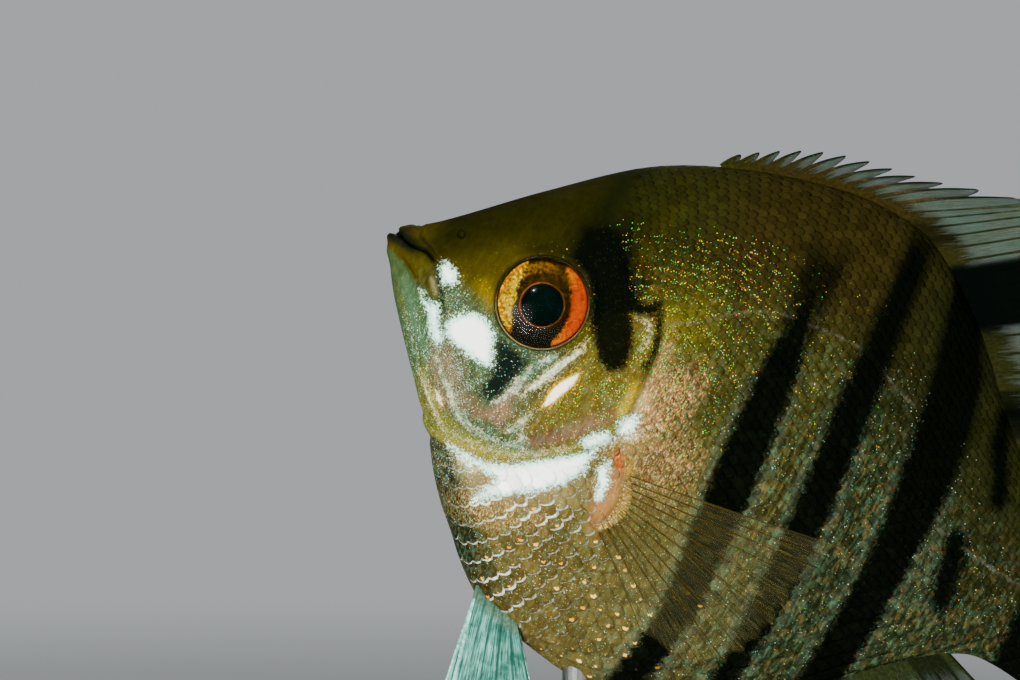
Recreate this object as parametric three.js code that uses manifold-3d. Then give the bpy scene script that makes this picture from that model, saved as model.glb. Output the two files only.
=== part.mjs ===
// A freshwater angelfish, adult and life-size, swimming nose-up above a plain display stand.
// Lengths are in millimetres, +Z is up, and the origin is the middle of the stand's underside.
// The fish is modelled level, in a frame of its own, and then pitched nose-up about the lateral axis:
// x runs from the tip of the jaw towards the tail, z towards the back, and the left side is at -y.
import * as THREE from "three";
import { mergeVertices } from "three/addons/utils/BufferGeometryUtils.js";
import Module from "manifold-3d";

// ---------------------------------------------------------------- driving dimensions
const standardLength = 82; // jaw tip to the end of the tail stalk
const bodyHalfWidth = 7.1; // at the gill covers
const pitch = THREE.MathUtils.degToRad(28.5); // nose above level
const seam = 0.3; // gap between neighbouring nodes

const eye = { x: 16.2, y: -5.35, z: 2.1, radius: 4.85, depth: 3, proud: 1.7, forward: 8, upward: 4 };
const orbitRim = { radius: 4.95, thickness: 0.3, out: 0.4 };
const nostril = { x: 5.8, z: 4.2, radius: 0.45, depth: 0.9 };
const lip = { radius: 0.78, corner: 4.6, halfGape: 1.9, upper: 2, lower: 0.25 };
const gillCover = { thickness: 1.5, proud: 0.5, from: 16, to: 29 };

const membrane = 0.26; // half thickness of a fin's membrane
const softRay = [0.5, 0.22]; // half thickness of a soft ray at its root and its tip
const spine = [0.62, 0.14]; // and of a spine
const sheathHeight = 3.4; // how quickly the scaly sheath at a fin's foot thins out
const finSink = 2.4; // how far a fin starts inside the body before it is trimmed to the skin

const rod = { radius: 1.5, x: 37.6, intoFish: 5, intoBase: 5 };
const base = { length: 104, width: 54, height: 8, edge: 1, corner: 9, ahead: 15 };
const finClearance = 4; // from the base up to the lowest fin tip

// ---------------------------------------------------------------- solids and geometries
const wasm = await Module();
wasm.setup();
const degrees = THREE.MathUtils.degToRad;

function solidOf(geometry) {
  const bare = geometry.clone();
  bare.deleteAttribute("normal");
  bare.deleteAttribute("uv");
  const merged = mergeVertices(bare, 1e-4);
  return new wasm.Manifold(
    new wasm.Mesh({
      numProp: 3,
      vertProperties: new Float32Array(merged.attributes.position.array),
      triVerts: new Uint32Array(merged.index.array),
    }),
  );
}

function geometryOf(solid) {
  const mesh = solid.getMesh();
  const geometry = new THREE.BufferGeometry();
  geometry.setAttribute("position", new THREE.BufferAttribute(mesh.vertProperties, 3));
  geometry.setIndex(new THREE.BufferAttribute(mesh.triVerts, 1));
  geometry.computeVertexNormals();
  return geometry;
}

const largest = (solid) => solid.decompose().sort((a, b) => b.volume() - a.volume())[0];

// The same form on the fish's other side.
function mirrored(geometry) {
  const other = geometry.clone().scale(1, -1, 1);
  const corners = other.index.array;
  for (let i = 0; i < corners.length; i += 3) {
    [corners[i], corners[i + 1]] = [corners[i + 1], corners[i]];
  }
  other.computeVertexNormals();
  return other;
}

// A closed solid from rings of points, each ring closed on itself, with a fan over both ends.
function loft(rings) {
  const around = rings[0].length;
  const points = rings.flat();
  const faces = [];
  for (let i = 0; i + 1 < rings.length; i++) {
    for (let j = 0; j < around; j++) {
      const a = i * around + j;
      const b = i * around + ((j + 1) % around);
      faces.push(a, b, a + around, b, b + around, a + around);
    }
  }
  const lastRing = (rings.length - 1) * around;
  for (const start of [0, lastRing]) {
    const middle = new THREE.Vector3();
    for (let j = 0; j < around; j++) middle.addScaledVector(points[start + j], 1 / around);
    const hub = points.push(middle) - 1;
    for (let j = 0; j < around; j++) {
      const a = start + j;
      const b = start + ((j + 1) % around);
      faces.push(hub, start ? a : b, start ? b : a);
    }
  }
  const geometry = new THREE.BufferGeometry().setFromPoints(points);
  geometry.setIndex(faces);
  return solidOf(geometry);
}

// A smooth value over x, through a few stations of [x, value].
function smoothThrough(...stations) {
  const slope = stations.map((station, i) => {
    const before = stations[Math.max(i - 1, 0)];
    const after = stations[Math.min(i + 1, stations.length - 1)];
    return (after[1] - before[1]) / (after[0] - before[0]);
  });
  return (x) => {
    let i = 0;
    while (i < stations.length - 2 && x > stations[i + 1][0]) i++;
    const span = stations[i + 1][0] - stations[i][0];
    const t = THREE.MathUtils.clamp((x - stations[i][0]) / span, 0, 1);
    const u = 1 - t;
    const start = u * u * ((1 + 2 * t) * stations[i][1] + t * span * slope[i]);
    const end = t * t * ((1 + 2 * u) * stations[i + 1][1] - u * span * slope[i + 1]);
    return start + end;
  };
}

// ---------------------------------------------------------------- the body's form
const snout = 0.3; // where the loft starts, behind the lips
const backLine = smoothThrough(
  [snout, 2.2], [3.5, 4.8], [11, 12.2], [19, 19.3], [27, 23.5], [36, 26.4], [42, 27.2],
  [48, 26.4], [56, 21.3], [64, 13.7], [70, 9.2], [74, 8.2], [standardLength, 9.2],
);
const bellyLine = smoothThrough(
  [snout, -1.4], [3, -5], [11, -13.8], [20, -23.7], [25, -27.5], [30, -28.9], [36, -29.8],
  [42, -30], [48, -28], [56, -22], [64, -14], [70, -9.2], [74, -8.5], [standardLength, -9.6],
);
// Half width as a share of the widest, and how much sharper than an ellipse the section's edges are.
const widthShare = smoothThrough(
  [snout, 0.2], [3, 0.36], [7, 0.57], [11, 0.73], [16, 0.87], [21, 0.96], [26, 1], [31, 0.99],
  [38, 0.93], [46, 0.82], [54, 0.66], [62, 0.49], [70, 0.34], [76, 0.26], [standardLength, 0.17],
);
const edgeSharpness = smoothThrough([snout, 0.9], [20, 1.1], [50, 1.15], [standardLength, 1.1]);

// The body grown by a margin, which may vary with x and may be negative.
function bodySolid(marginAt, stations = 38, around = 28) {
  const rings = [];
  for (let i = 0; i <= stations; i++) {
    const share = i / stations;
    const x = snout + (standardLength - snout) * (0.6 * share + 0.4 * share ** 2);
    const margin = typeof marginAt === "function" ? marginAt(x) : marginAt;
    const top = backLine(x) + margin;
    const bottom = bellyLine(x) - margin;
    const halfWidth = bodyHalfWidth * widthShare(x) + margin;
    const ring = [];
    for (let j = 0; j < around; j++) {
      const angle = (j / around) * 2 * Math.PI;
      const across = Math.cos(angle);
      ring.push(new THREE.Vector3(
        x + margin * (2 * share - 1),
        halfWidth * Math.sign(across) * Math.abs(across) ** edgeSharpness(x),
        (top + bottom) / 2 + ((top - bottom) / 2) * Math.sin(angle),
      ));
    }
    rings.push(ring);
  }
  return loft(rings);
}

// ---------------------------------------------------------------- cuts through the body
const cutReach = 20; // half length of every cutter across the fish
const mouthLine = [
  [-3, 1.1], [0.5, 1.1], [2.4, 0.95], [4.2, 0.8], [5.2, -0.6], [6, -2.8], [7.6, -5.2],
  [9.6, -8.2], [11.2, -11], [12, -13.6], [11.8, -18],
];
const gillEdge = [
  [22.4, 28], [22.5, 20], [22.8, 13], [24.3, 8.8], [26.6, 7.4], [28.2, 5], [28.6, 2], [29, -1.5],
  [29.2, -4.6], [27.8, -8], [24.6, -11.2], [20.4, -13.9], [16.4, -15], [13.4, -15.3], [10.5, -18],
];
const cheekEdge = [
  [25.6, 10.5], [24, 7.6], [22.9, 4.5], [22.9, 0], [22.1, -4], [20.7, -7.8], [18.6, -10.8],
  [15.6, -12.7], [13.6, -14.2], [12.6, -17],
];
const stalkLine = [[69.6, 20], [70.8, 8], [71.2, 0], [70.8, -8], [69.6, -20]];

// A smooth run of points through a line's own points, set off to one side of it.
function smoothRun(line, offset = 0) {
  const curve = new THREE.SplineCurve(line.map(([x, z]) => new THREE.Vector2(x, z)));
  const steps = 2 * (line.length - 1);
  return Array.from({ length: steps + 1 }, (_, i) => {
    const at = curve.getPoint(i / steps);
    const along = curve.getTangent(i / steps);
    return new THREE.Vector2(at.x - along.y * offset, at.y + along.x * offset);
  });
}

// A prism that lies across the fish, over an outline in the x-z plane.
function prism(outline) {
  const settings = { depth: 2 * cutReach, bevelEnabled: false };
  const geometry = new THREE.ExtrudeGeometry(new THREE.Shape(outline), settings);
  return solidOf(geometry.translate(0, 0, -cutReach).rotateX(Math.PI / 2));
}

// A cut of the seam's width along a line, and all that lies on one side of a line, out to x.
const kerf = (line) => prism([...smoothRun(line, seam / 2), ...smoothRun(line, -seam / 2).reverse()]);
const sideOf = (line, x) => {
  const [top, bottom] = [line[0], line.at(-1)];
  return prism([...smoothRun(line), new THREE.Vector2(x, bottom[1]), new THREE.Vector2(x, top[1])]);
};

// ---------------------------------------------------------------- eyes, lips and nostrils
function placedAsEye(geometry) {
  return geometry
    .rotateX(Math.PI - degrees(eye.upward))
    .rotateZ(-degrees(eye.forward))
    .translate(eye.x, eye.y, eye.z);
}

function eyeball(grown, around) {
  const profile = [];
  const arc = 5; // steps on each half of the profile
  for (let i = 0; i <= 2 * arc; i++) {
    const angle = ((i / arc - 1) * Math.PI) / 2;
    const high = Math.sin(angle);
    const radius = i % (2 * arc) ? (eye.radius + grown) * Math.cos(angle) : 0;
    profile.push(new THREE.Vector2(radius, high * ((high > 0 ? eye.proud : eye.depth) + grown)));
  }
  return placedAsEye(new THREE.LatheGeometry(profile, around));
}

function rimRing() {
  const ring = new THREE.TorusGeometry(orbitRim.radius, orbitRim.thickness, 5, 28);
  return placedAsEye(ring.rotateX(Math.PI / 2).translate(0, orbitRim.out, 0));
}

// A lip bends round the front of the mouth from corner to corner.
function lipSolid(height, front) {
  const side = [
    [lip.corner, lip.halfGape + 0.1, 0.9 + (height - 0.9) * 0.6],
    [2.2, lip.halfGape, height],
    [front + 0.4, lip.halfGape * 0.6, height],
  ];
  const left = side.map(([x, y, z]) => new THREE.Vector3(x, -y, z));
  const right = side.map(([x, y, z]) => new THREE.Vector3(x, y, z)).reverse();
  const path = new THREE.CatmullRomCurve3([...left, new THREE.Vector3(front, 0, height), ...right]);
  const section = new THREE.Shape().absarc(0, 0, lip.radius, 0, 2 * Math.PI);
  const settings = { steps: 12, curveSegments: 4, extrudePath: path };
  return solidOf(new THREE.ExtrudeGeometry(section, settings));
}

function nostrilPit() {
  const pit = new THREE.CylinderGeometry(nostril.radius, nostril.radius, cutReach, 10);
  const mid = (backLine(nostril.x) + bellyLine(nostril.x)) / 2;
  const rise = (nostril.z - mid) / (backLine(nostril.x) - mid);
  const skin = bodyHalfWidth * widthShare(nostril.x) * Math.sqrt(1 - rise ** 2);
  return pit.translate(nostril.x, nostril.depth - skin - cutReach / 2, nostril.z);
}

// ---------------------------------------------------------------- fins
// A ray, as a function of its share of length, bends along an arc in the fin's own plane.
// Shares below nought run straight back into the body.
function rayLine({ root, angle, length, bend = 0 }) {
  const start = degrees(angle);
  const turn = degrees(bend);
  return (share) => {
    const straight = share <= 0 || Math.abs(turn) < 1e-3;
    const heading = straight ? start : start + (turn * share) / 2;
    const chord = straight ? length * share : ((2 * length) / turn) * Math.sin((turn * share) / 2);
    return [root[0] + Math.cos(heading) * chord, root[1] + Math.sin(heading) * chord];
  };
}

// Rays along one of the body's outlines, with each value given over the share of the fin's base.
function raysAlong(outline, { from, to, count, crowd = 1, angle, length, bend = () => 0, ...rest }) {
  return Array.from({ length: count }, (_, i) => {
    const share = i / (count - 1);
    const x = from + (to - from) * share ** crowd;
    return { root: [x, outline(x)], angle: angle(share), length: length(share), bend: bend(share), ...rest };
  });
}

// The columns of a fin's sheet: each ray, and the webs between it and the next.
// A web is [share of the way to the next ray, share of their length that it reaches].
function finColumns(rays, webs) {
  const lines = rays.map(rayLine);
  return rays.flatMap((one, i) => {
    const [root, tip] = one.thick ?? softRay;
    const ray = { place: i, length: one.length, at: lines[i], half: (out) => root + (tip - root) * out };
    if (i === rays.length - 1) return [ray];
    const between = (one.webs ?? webs).map(([part, reach]) => ({
      place: i + part,
      length: THREE.MathUtils.lerp(one.length, rays[i + 1].length, part),
      half: (out) => membrane * (1 - 0.5 * out ** 6),
      at: (share) => {
        const own = share > 0 ? share * reach : share;
        const [a, b] = [lines[i](own), lines[i + 1](own)];
        return [a[0] + (b[0] - a[0]) * part, a[1] + (b[1] - a[1]) * part];
      },
    }));
    return [ray, ...between];
  });
}

// A fin as one closed sheet, with a raised ridge along each ray, standing in the x-z plane.
// A wave runs across it, and a scaly sheath thickens its foot.
function finGeometry(rays, { steps, webs = [[0.5, 0.985]], wave = 0, phase = 0, sheath = 0 }) {
  const columns = finColumns(rays, webs);
  const points = [];
  for (const { place, length, at, half } of columns) {
    for (let j = 0; j <= steps; j++) {
      const share = j ? ((j - 1) / (steps - 1)) ** 1.4 : -finSink / length;
      const [x, z] = at(share);
      const out = Math.max(share, 0);
      const lift = wave * out ** 2 * Math.sin(phase + (place / rays.length) * Math.PI);
      const thick = half(out) + sheath * Math.exp(-((out * length) / sheathHeight));
      points.push(new THREE.Vector3(x, lift - thick, z), new THREE.Vector3(x, lift + thick, z));
    }
  }
  const faces = [];
  const quad = (a, b, c, d) => faces.push(a, b, c, a, c, d);
  const row = 2 * (steps + 1);
  const last = (columns.length - 1) * row;
  for (let i = 0; i < last; i += row) {
    for (let j = i; j < i + 2 * steps; j += 2) {
      quad(j, j + row, j + row + 2, j + 2);
      faces.push(j + 1, j + row + 3, j + row + 1, j + 1, j + 3, j + row + 3);
    }
    const tip = i + 2 * steps;
    quad(i, i + 1, i + row + 1, i + row);
    quad(tip, tip + row, tip + row + 1, tip + 1);
  }
  for (let j = 0; j < 2 * steps; j += 2) {
    quad(j, j + 2, j + 3, j + 1);
    quad(last + j, last + j + 1, last + j + 3, last + j + 2);
  }
  const geometry = new THREE.BufferGeometry().setFromPoints(points);
  geometry.setIndex(faces);
  return geometry;
}

const dorsalRays = [
  ...raysAlong(backLine, {
    from: 25.6, to: 42, count: 12, crowd: 1.1,
    angle: smoothThrough([0, 60], [0.35, 54], [0.7, 38], [1, 32]),
    length: smoothThrough([0, 1.9], [0.27, 3.7], [0.55, 5.9], [0.8, 8.2], [1, 13.2]),
    thick: spine,
    webs: [[0.2, 0.96], [0.8, 0.72]],
  }),
  ...raysAlong(backLine, {
    from: 43.6, to: 69.4, count: 20,
    angle: smoothThrough([0, 32], [0.25, 37], [0.5, 34], [0.75, 27], [1, 17]),
    length: smoothThrough(
      [0, 17], [0.1, 31], [0.2, 48], [0.27, 56], [0.34, 48], [0.45, 35], [0.6, 24], [0.8, 15], [1, 10],
    ),
    bend: smoothThrough([0, 0], [0.25, 8], [1, 4]),
  }),
];

// The fins below are listed from their last ray to their first.
const analRays = [
  ...raysAlong(bellyLine, {
    from: 42.4, to: 49, count: 6,
    angle: smoothThrough([0, -62], [1, -52]),
    length: smoothThrough([0, 2.6], [0.5, 8.5], [1, 19]),
    thick: spine,
    webs: [[0.5, 0.9]],
  }),
  ...raysAlong(bellyLine, {
    from: 50.2, to: 69.4, count: 19,
    angle: smoothThrough([0, -51], [0.25, -47], [0.5, -41], [0.75, -30], [1, -18]),
    length: smoothThrough(
      [0, 26], [0.1, 42], [0.18, 56], [0.26, 50], [0.4, 36], [0.6, 24], [0.8, 15.5], [1, 10.5],
    ),
    bend: smoothThrough([0, 0], [0.2, 10], [1, 0]),
  }),
].reverse();

const tail = { rays: 16, spread: 8.6, fan: 25, length: 25 };
const caudalRays = Array.from({ length: tail.rays }, (_, i) => {
  const high = 1 - (2 * i) / (tail.rays - 1);
  return {
    root: [standardLength - 0.6 - 1.4 * high ** 2, tail.spread * high - 0.2],
    angle: tail.fan * high,
    length: tail.length + 5 * high ** 2 + 13 * high ** 8,
    bend: -6 * high,
  };
});

const pectoral = { x: 32, skin: 6.35, z: -12.1, spread: 3.1, splay: 24, lean: 6, rays: 12 };
const pectoralAngle = smoothThrough([0, 11], [0.27, 5.5], [0.5, -7], [0.75, -19], [1, -32]);
const pectoralLength = smoothThrough([0, 24], [0.25, 21], [0.5, 20], [0.8, 18], [1, 11.5]);
const pectoralRays = Array.from({ length: pectoral.rays }, (_, i) => {
  const share = i / (pectoral.rays - 1);
  const high = 1 - 2 * share;
  return {
    root: [1.4 - 1.6 * high ** 2, pectoral.spread * high],
    angle: pectoralAngle(share),
    length: pectoralLength(share),
    bend: 2 - 7 * share,
  };
});

const pelvic = { x: 27.2, y: -1.5, z: -27.6, base: 5.6, tuck: 1.2, splay: 9 };
const pelvicRays = [
  { length: 17, angle: -77, bend: 4, thick: spine, webs: [[0.5, 0.97]] },
  { length: 60, angle: -76, bend: 20, webs: [[0.2, 0.6], [0.7, 0.86]] },
  { length: 36, angle: -74, bend: 14, webs: [[0.5, 0.92]] },
  { length: 24, angle: -68, bend: 8 },
  { length: 17, angle: -60, bend: 6 },
  { length: 12, angle: -50, bend: 4 },
].map((one, i) => ({ ...one, root: [(i / 5 - 0.5) * pelvic.base, (0.5 - i / 5) * pelvic.tuck] })).reverse();

function pectoralGeometry() {
  const sheet = finGeometry(pectoralRays, { steps: 5, wave: -1, sheath: 0.5 });
  return sheet
    .rotateZ(-degrees(pectoral.splay))
    .rotateX(degrees(pectoral.lean))
    .translate(pectoral.x, -pectoral.skin, pectoral.z);
}

// The fin on one side, swung a little forward or back.
function pelvicGeometry(side, swing) {
  const sheet = finGeometry(pelvicRays, { steps: 8, wave: 0.6, sheath: 0.4 });
  return sheet
    .rotateX(-side * degrees(pelvic.splay))
    .rotateY(degrees(swing))
    .translate(pelvic.x, side * pelvic.y, pelvic.z);
}

// ---------------------------------------------------------------- the fish
const fish = new THREE.Group();
fish.rotation.y = pitch;

function add(group, name, geometry, color, roughness = 0.5, metalness = 0) {
  const mesh = new THREE.Mesh(geometry, new THREE.MeshStandardMaterial({ color, roughness, metalness }));
  mesh.name = name;
  group.add(mesh);
}

const upright = new THREE.Vector3(-Math.sin(pitch), 0, Math.cos(pitch)); // the world's up, in the fish
const rodFoot = new THREE.Vector3(rod.x, 0, bellyLine(rod.x));

function rodBore() {
  const bore = new THREE.CylinderGeometry(rod.radius + seam, rod.radius + seam, 2 * cutReach, 20);
  const middle = rodFoot.clone().addScaledVector(upright, rod.intoFish + seam - cutReach);
  return solidOf(bore.rotateX(Math.PI / 2).rotateY(-pitch).translate(...middle));
}

const lips = lipSolid(lip.upper, 0.9).add(lipSolid(lip.lower, 0.25));
const rims = solidOf(rimRing()).add(solidOf(mirrored(rimRing())));
const sockets = solidOf(eyeball(seam, 26)).add(solidOf(mirrored(eyeball(seam, 26))));
const pits = solidOf(nostrilPit()).add(solidOf(mirrored(nostrilPit())));
const whole = bodySolid(0).add(lips).add(rims).subtract(sockets).subtract(pits).subtract(rodBore());

const aheadOfGills = sideOf(gillEdge, -30);
const behindCheek = sideOf(cheekEdge, 60);
const gillRegion = aheadOfGills.intersect(behindCheek);
const pocket = gillRegion.add(kerf(cheekEdge)).subtract(bodySolid(-gillCover.thickness - seam));
const foreBody = whole.intersect(aheadOfGills).subtract(kerf(gillEdge)).subtract(pocket);
const jawAndHead = foreBody.subtract(kerf(mouthLine)).decompose();
jawAndHead.sort((a, b) => b.volume() - a.volume());
const rearBody = whole.subtract(aheadOfGills).subtract(kerf(gillEdge)).subtract(kerf(stalkLine)).decompose();
rearBody.sort((a, b) => b.volume() - a.volume());

const coverRise = (x) => gillCover.proud * THREE.MathUtils.smoothstep(x, gillCover.from, gillCover.to);
const leftSide = new THREE.BoxGeometry(4 * cutReach, cutReach, 4 * cutReach);
const leftHalf = solidOf(leftSide.translate(0, -(cutReach + seam) / 2, 0));
const coverShell = bodySolid(coverRise).subtract(bodySolid(-gillCover.thickness)).intersect(leftHalf);
const coverCuts = kerf(gillEdge).add(kerf(cheekEdge));
const cover = geometryOf(largest(coverShell.intersect(gillRegion).subtract(coverCuts)));

const trimmer = bodySolid(seam);
const trimmed = (geometry) => geometryOf(largest(solidOf(geometry).subtract(trimmer)));
const pectoralFin = trimmed(pectoralGeometry());

const bronze = 0x7d6a3c;
const membraneColor = 0x6f7a5a;
add(fish, "head", geometryOf(jawAndHead[0]), 0x6b5a20, 0.4, 0.3);
add(fish, "lower_jaw", geometryOf(jawAndHead[1]), 0x8c9480, 0.35, 0.4);
add(fish, "trunk", geometryOf(rearBody[0]), bronze, 0.45, 0.35);
add(fish, "tail_stalk", geometryOf(rearBody[1]), 0x6d6a44, 0.45, 0.3);
add(fish, "gill_cover_left", cover, 0x9a8a58, 0.35, 0.4);
add(fish, "gill_cover_right", mirrored(cover), 0x9a8a58, 0.35, 0.4);
add(fish, "eye_left", eyeball(0, 26), 0xc46a12, 0.1);
add(fish, "eye_right", mirrored(eyeball(0, 26)), 0xc46a12, 0.1);
add(fish, "dorsal_fin", trimmed(finGeometry(dorsalRays, { steps: 6, wave: 2.4, sheath: 0.7 })), membraneColor);
add(fish, "anal_fin", trimmed(finGeometry(analRays, { steps: 6, wave: -2.2, sheath: 0.7 })), membraneColor);
add(fish, "caudal_fin", trimmed(finGeometry(caudalRays, { steps: 6, wave: 2, phase: 0.6, sheath: 0.4 })), 0x7d8868);
add(fish, "pectoral_fin_left", pectoralFin, 0xa69a5c);
add(fish, "pectoral_fin_right", mirrored(pectoralFin), 0xa69a5c);
add(fish, "pelvic_fin_left", trimmed(pelvicGeometry(1, 0)), 0x6fb3ac);
add(fish, "pelvic_fin_right", trimmed(pelvicGeometry(-1, 5)), 0x6fb3ac);

// ---------------------------------------------------------------- the stand
function baseSolid() {
  const x = base.length / 2 - base.edge;
  const y = base.width / 2 - base.edge;
  const r = base.corner;
  const outline = new THREE.Shape();
  outline.absarc(x - r, y - r, r, 0, Math.PI / 2);
  outline.absarc(r - x, y - r, r, Math.PI / 2, Math.PI);
  outline.absarc(r - x, r - y, r, Math.PI, 1.5 * Math.PI);
  outline.absarc(x - r, r - y, r, 1.5 * Math.PI, 2 * Math.PI);
  const bevel = { bevelThickness: base.edge, bevelSize: base.edge, bevelSegments: 1 };
  const settings = { depth: base.height - 2 * base.edge, curveSegments: 4, ...bevel };
  return solidOf(new THREE.ExtrudeGeometry(outline, settings).translate(0, 0, base.edge));
}

fish.updateMatrixWorld();
const box = new THREE.Box3().setFromObject(fish, true);
const entry = rodFoot.clone().applyMatrix4(fish.matrixWorld); // where the rod meets the belly
fish.position.set(-entry.x - base.ahead, 0, base.height + finClearance - box.min.z);

const rodTop = entry.z + fish.position.z + rod.intoFish;
const rodStart = base.height - rod.intoBase;
const rodBody = new THREE.CylinderGeometry(rod.radius, rod.radius, rodTop - rodStart, 20);
const rodHole = new THREE.CylinderGeometry(rod.radius + seam, rod.radius + seam, 2 * cutReach, 20);
const lengthwise = (geometry, z) => geometry.rotateX(Math.PI / 2).translate(-base.ahead, 0, z);
const hole = solidOf(lengthwise(rodHole, rodStart - seam + cutReach));

const angelfish = new THREE.Group();
angelfish.add(fish);
add(angelfish, "stand_base", geometryOf(baseSolid().subtract(hole)), 0x3a2b20, 0.5);
add(angelfish, "stand_rod", lengthwise(rodBody, (rodTop + rodStart) / 2), 0xb8b8b4, 0.3, 0.9);

export default angelfish;
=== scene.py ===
import math
from types import SimpleNamespace
import bmesh
import bpy
import numpy as np
from mathutils import Matrix, Vector


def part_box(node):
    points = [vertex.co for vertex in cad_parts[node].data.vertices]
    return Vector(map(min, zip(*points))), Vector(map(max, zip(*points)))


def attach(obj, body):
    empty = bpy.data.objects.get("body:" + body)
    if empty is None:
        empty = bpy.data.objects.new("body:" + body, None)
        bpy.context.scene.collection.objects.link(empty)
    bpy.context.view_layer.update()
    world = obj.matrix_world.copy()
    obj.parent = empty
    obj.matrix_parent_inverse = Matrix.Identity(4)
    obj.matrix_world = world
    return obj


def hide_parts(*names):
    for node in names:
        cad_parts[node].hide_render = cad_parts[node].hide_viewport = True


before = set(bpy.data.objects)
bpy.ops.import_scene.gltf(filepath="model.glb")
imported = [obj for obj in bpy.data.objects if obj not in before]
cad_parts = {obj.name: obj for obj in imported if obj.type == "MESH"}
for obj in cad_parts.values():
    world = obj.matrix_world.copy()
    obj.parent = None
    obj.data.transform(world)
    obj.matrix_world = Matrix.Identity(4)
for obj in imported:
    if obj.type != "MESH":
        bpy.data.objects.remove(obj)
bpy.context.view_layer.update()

# A freshwater angelfish, life-size, swimming nose-up above a plain stand.
# Lengths below are millimetres in the fish's own level frame: x from the jaw to the tail,
# z towards the back, the left side at -y. fishToPart turns them into the part's frame.


# curves and fields over the side of the fish

def smoothThrough(*stations):
    # a smooth value over x, through a few stations of (x, value)
    at = np.array([station[0] for station in stations], float)
    value = np.array([station[1] for station in stations], float)
    before = np.maximum(np.arange(len(at)) - 1, 0)
    after = np.minimum(np.arange(len(at)) + 1, len(at) - 1)
    slope = (value[after] - value[before]) / (at[after] - at[before])

    def curve(x):
        x = np.asarray(x, float)
        i = np.clip(np.searchsorted(at, x) - 1, 0, len(at) - 2)
        span = at[i + 1] - at[i]
        t = np.clip((x - at[i]) / span, 0, 1)
        u = 1 - t
        start = u * u * ((1 + 2 * t) * value[i] + t * span * slope[i])
        end = t * t * ((1 + 2 * u) * value[i + 1] - u * span * slope[i + 1])
        return start + end

    return curve


def smoothStep(low, high, x):
    t = np.clip((np.asarray(x, float) - low) / (high - low), 0, 1)
    return t * t * (3 - 2 * t)


def bell(x, width):
    return np.exp(-((x / width) ** 2))


def roundedLine(points, steps=6):
    # a Catmull-Rom run through a line's points
    p = np.array(points, float)
    p = np.vstack([2 * p[0] - p[1], p, 2 * p[-1] - p[-2]])
    run = []
    for a, b, c, d in zip(p, p[1:], p[2:], p[3:]):
        for t in np.arange(steps) / steps:
            place = 2 * b + (c - a) * t
            place = place + (2 * a - 5 * b + 4 * c - d) * t**2
            place = place + (3 * b - a - 3 * c + d) * t**3
            run.append(0.5 * place)
    return np.array(run + [p[-2]])


def swell(share):
    # nought at a line's ends and one along its middle
    return np.sqrt(np.clip(np.sin(math.pi * share), 0, 1))


def lineField(x, z, points):
    # signed distance to a line, positive on its left as it runs, and the share of its length
    run = roundedLine(points)
    lengths = np.hypot(*np.diff(run, axis=0).T)
    total = lengths.sum()
    best = np.full(x.shape, 1e9)
    side = np.ones(x.shape)
    share = np.zeros(x.shape)
    done = 0.0
    for (ax, az), (bx, bz), length in zip(run, run[1:], lengths):
        dx, dz = (bx - ax) / length, (bz - az) / length
        along = np.clip((x - ax) * dx + (z - az) * dz, 0, length)
        away = np.hypot(x - ax - along * dx, z - az - along * dz)
        nearer = away < best
        best = np.where(nearer, away, best)
        side = np.where(nearer, np.sign(dx * (z - az) - dz * (x - ax) + 1e-9), side)
        share = np.where(nearer, (done + along) / total, share)
        done += length
    return best * side, share


def blobField(x, z, blobs):
    # soft ellipses of (x, z, half length, half height, turn in degrees, strength), as one mask
    mask = np.zeros(np.shape(x))
    for bx, bz, long, high, turn, strength in blobs:
        c, s = math.cos(math.radians(turn)), math.sin(math.radians(turn))
        u = ((x - bx) * c + (z - bz) * s) / long
        v = ((z - bz) * c - (x - bx) * s) / high
        mask = np.maximum(mask, strength * np.clip(1.5 - np.hypot(u, v), 0, 1))
    return mask


# the body's form, as its solids have it

body = dict(
    length=82.0,
    halfWidth=7.1,
    pitch=28.5,
    coat=0.16,  # how far the skin lies inside, under the scales
    rodX=37.6,
    rodIntoFish=5.0,
)
backLine = smoothThrough(
    (0.3, 2.2), (3.5, 4.8), (11, 12.2), (19, 19.3), (27, 23.5), (36, 26.4), (42, 27.2),
    (48, 26.4), (56, 21.3), (64, 13.7), (70, 9.2), (74, 8.2), (82, 9.2),
)
bellyLine = smoothThrough(
    (0.3, -1.4), (3, -5), (11, -13.8), (20, -23.7), (25, -27.5), (30, -28.9), (36, -29.8),
    (42, -30), (48, -28), (56, -22), (64, -14), (70, -9.2), (74, -8.5), (82, -9.6),
)
widthShare = smoothThrough(
    (0.3, 0.2), (3, 0.36), (7, 0.57), (11, 0.73), (16, 0.87), (21, 0.96), (26, 1), (31, 0.99),
    (38, 0.93), (46, 0.82), (54, 0.66), (62, 0.49), (70, 0.34), (76, 0.26), (82, 0.17),
)
edgeSharpness = smoothThrough((0.3, 0.9), (20, 1.1), (50, 1.15), (82, 1.1))

pitch = math.radians(body["pitch"])
rodLow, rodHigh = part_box("stand_rod")
rodTop = Vector(((rodLow.x + rodHigh.x) / 2, 0, rodHigh.z)) * 1000
footX, footZ = body["rodX"], float(bellyLine(body["rodX"]))
turned = Matrix.Rotation(pitch, 4, "Y")
rodFoot = turned @ Vector((footX, 0, footZ)) + Vector((0, 0, body["rodIntoFish"]))
fishPlace = rodTop - rodFoot
print("fish at", [round(value, 2) for value in fishPlace])
fishToPart = Matrix.Scale(0.001, 4) @ Matrix.Translation(fishPlace) @ turned
fishMatrix = np.array(fishToPart)


def toPart(points):
    return np.asarray(points) @ fishMatrix[:3, :3].T + fishMatrix[:3, 3]


snout = dict(pole=1.12, roundFrom=1.3, reach=1.35)  # where the front rounds over to the mouth


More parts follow.
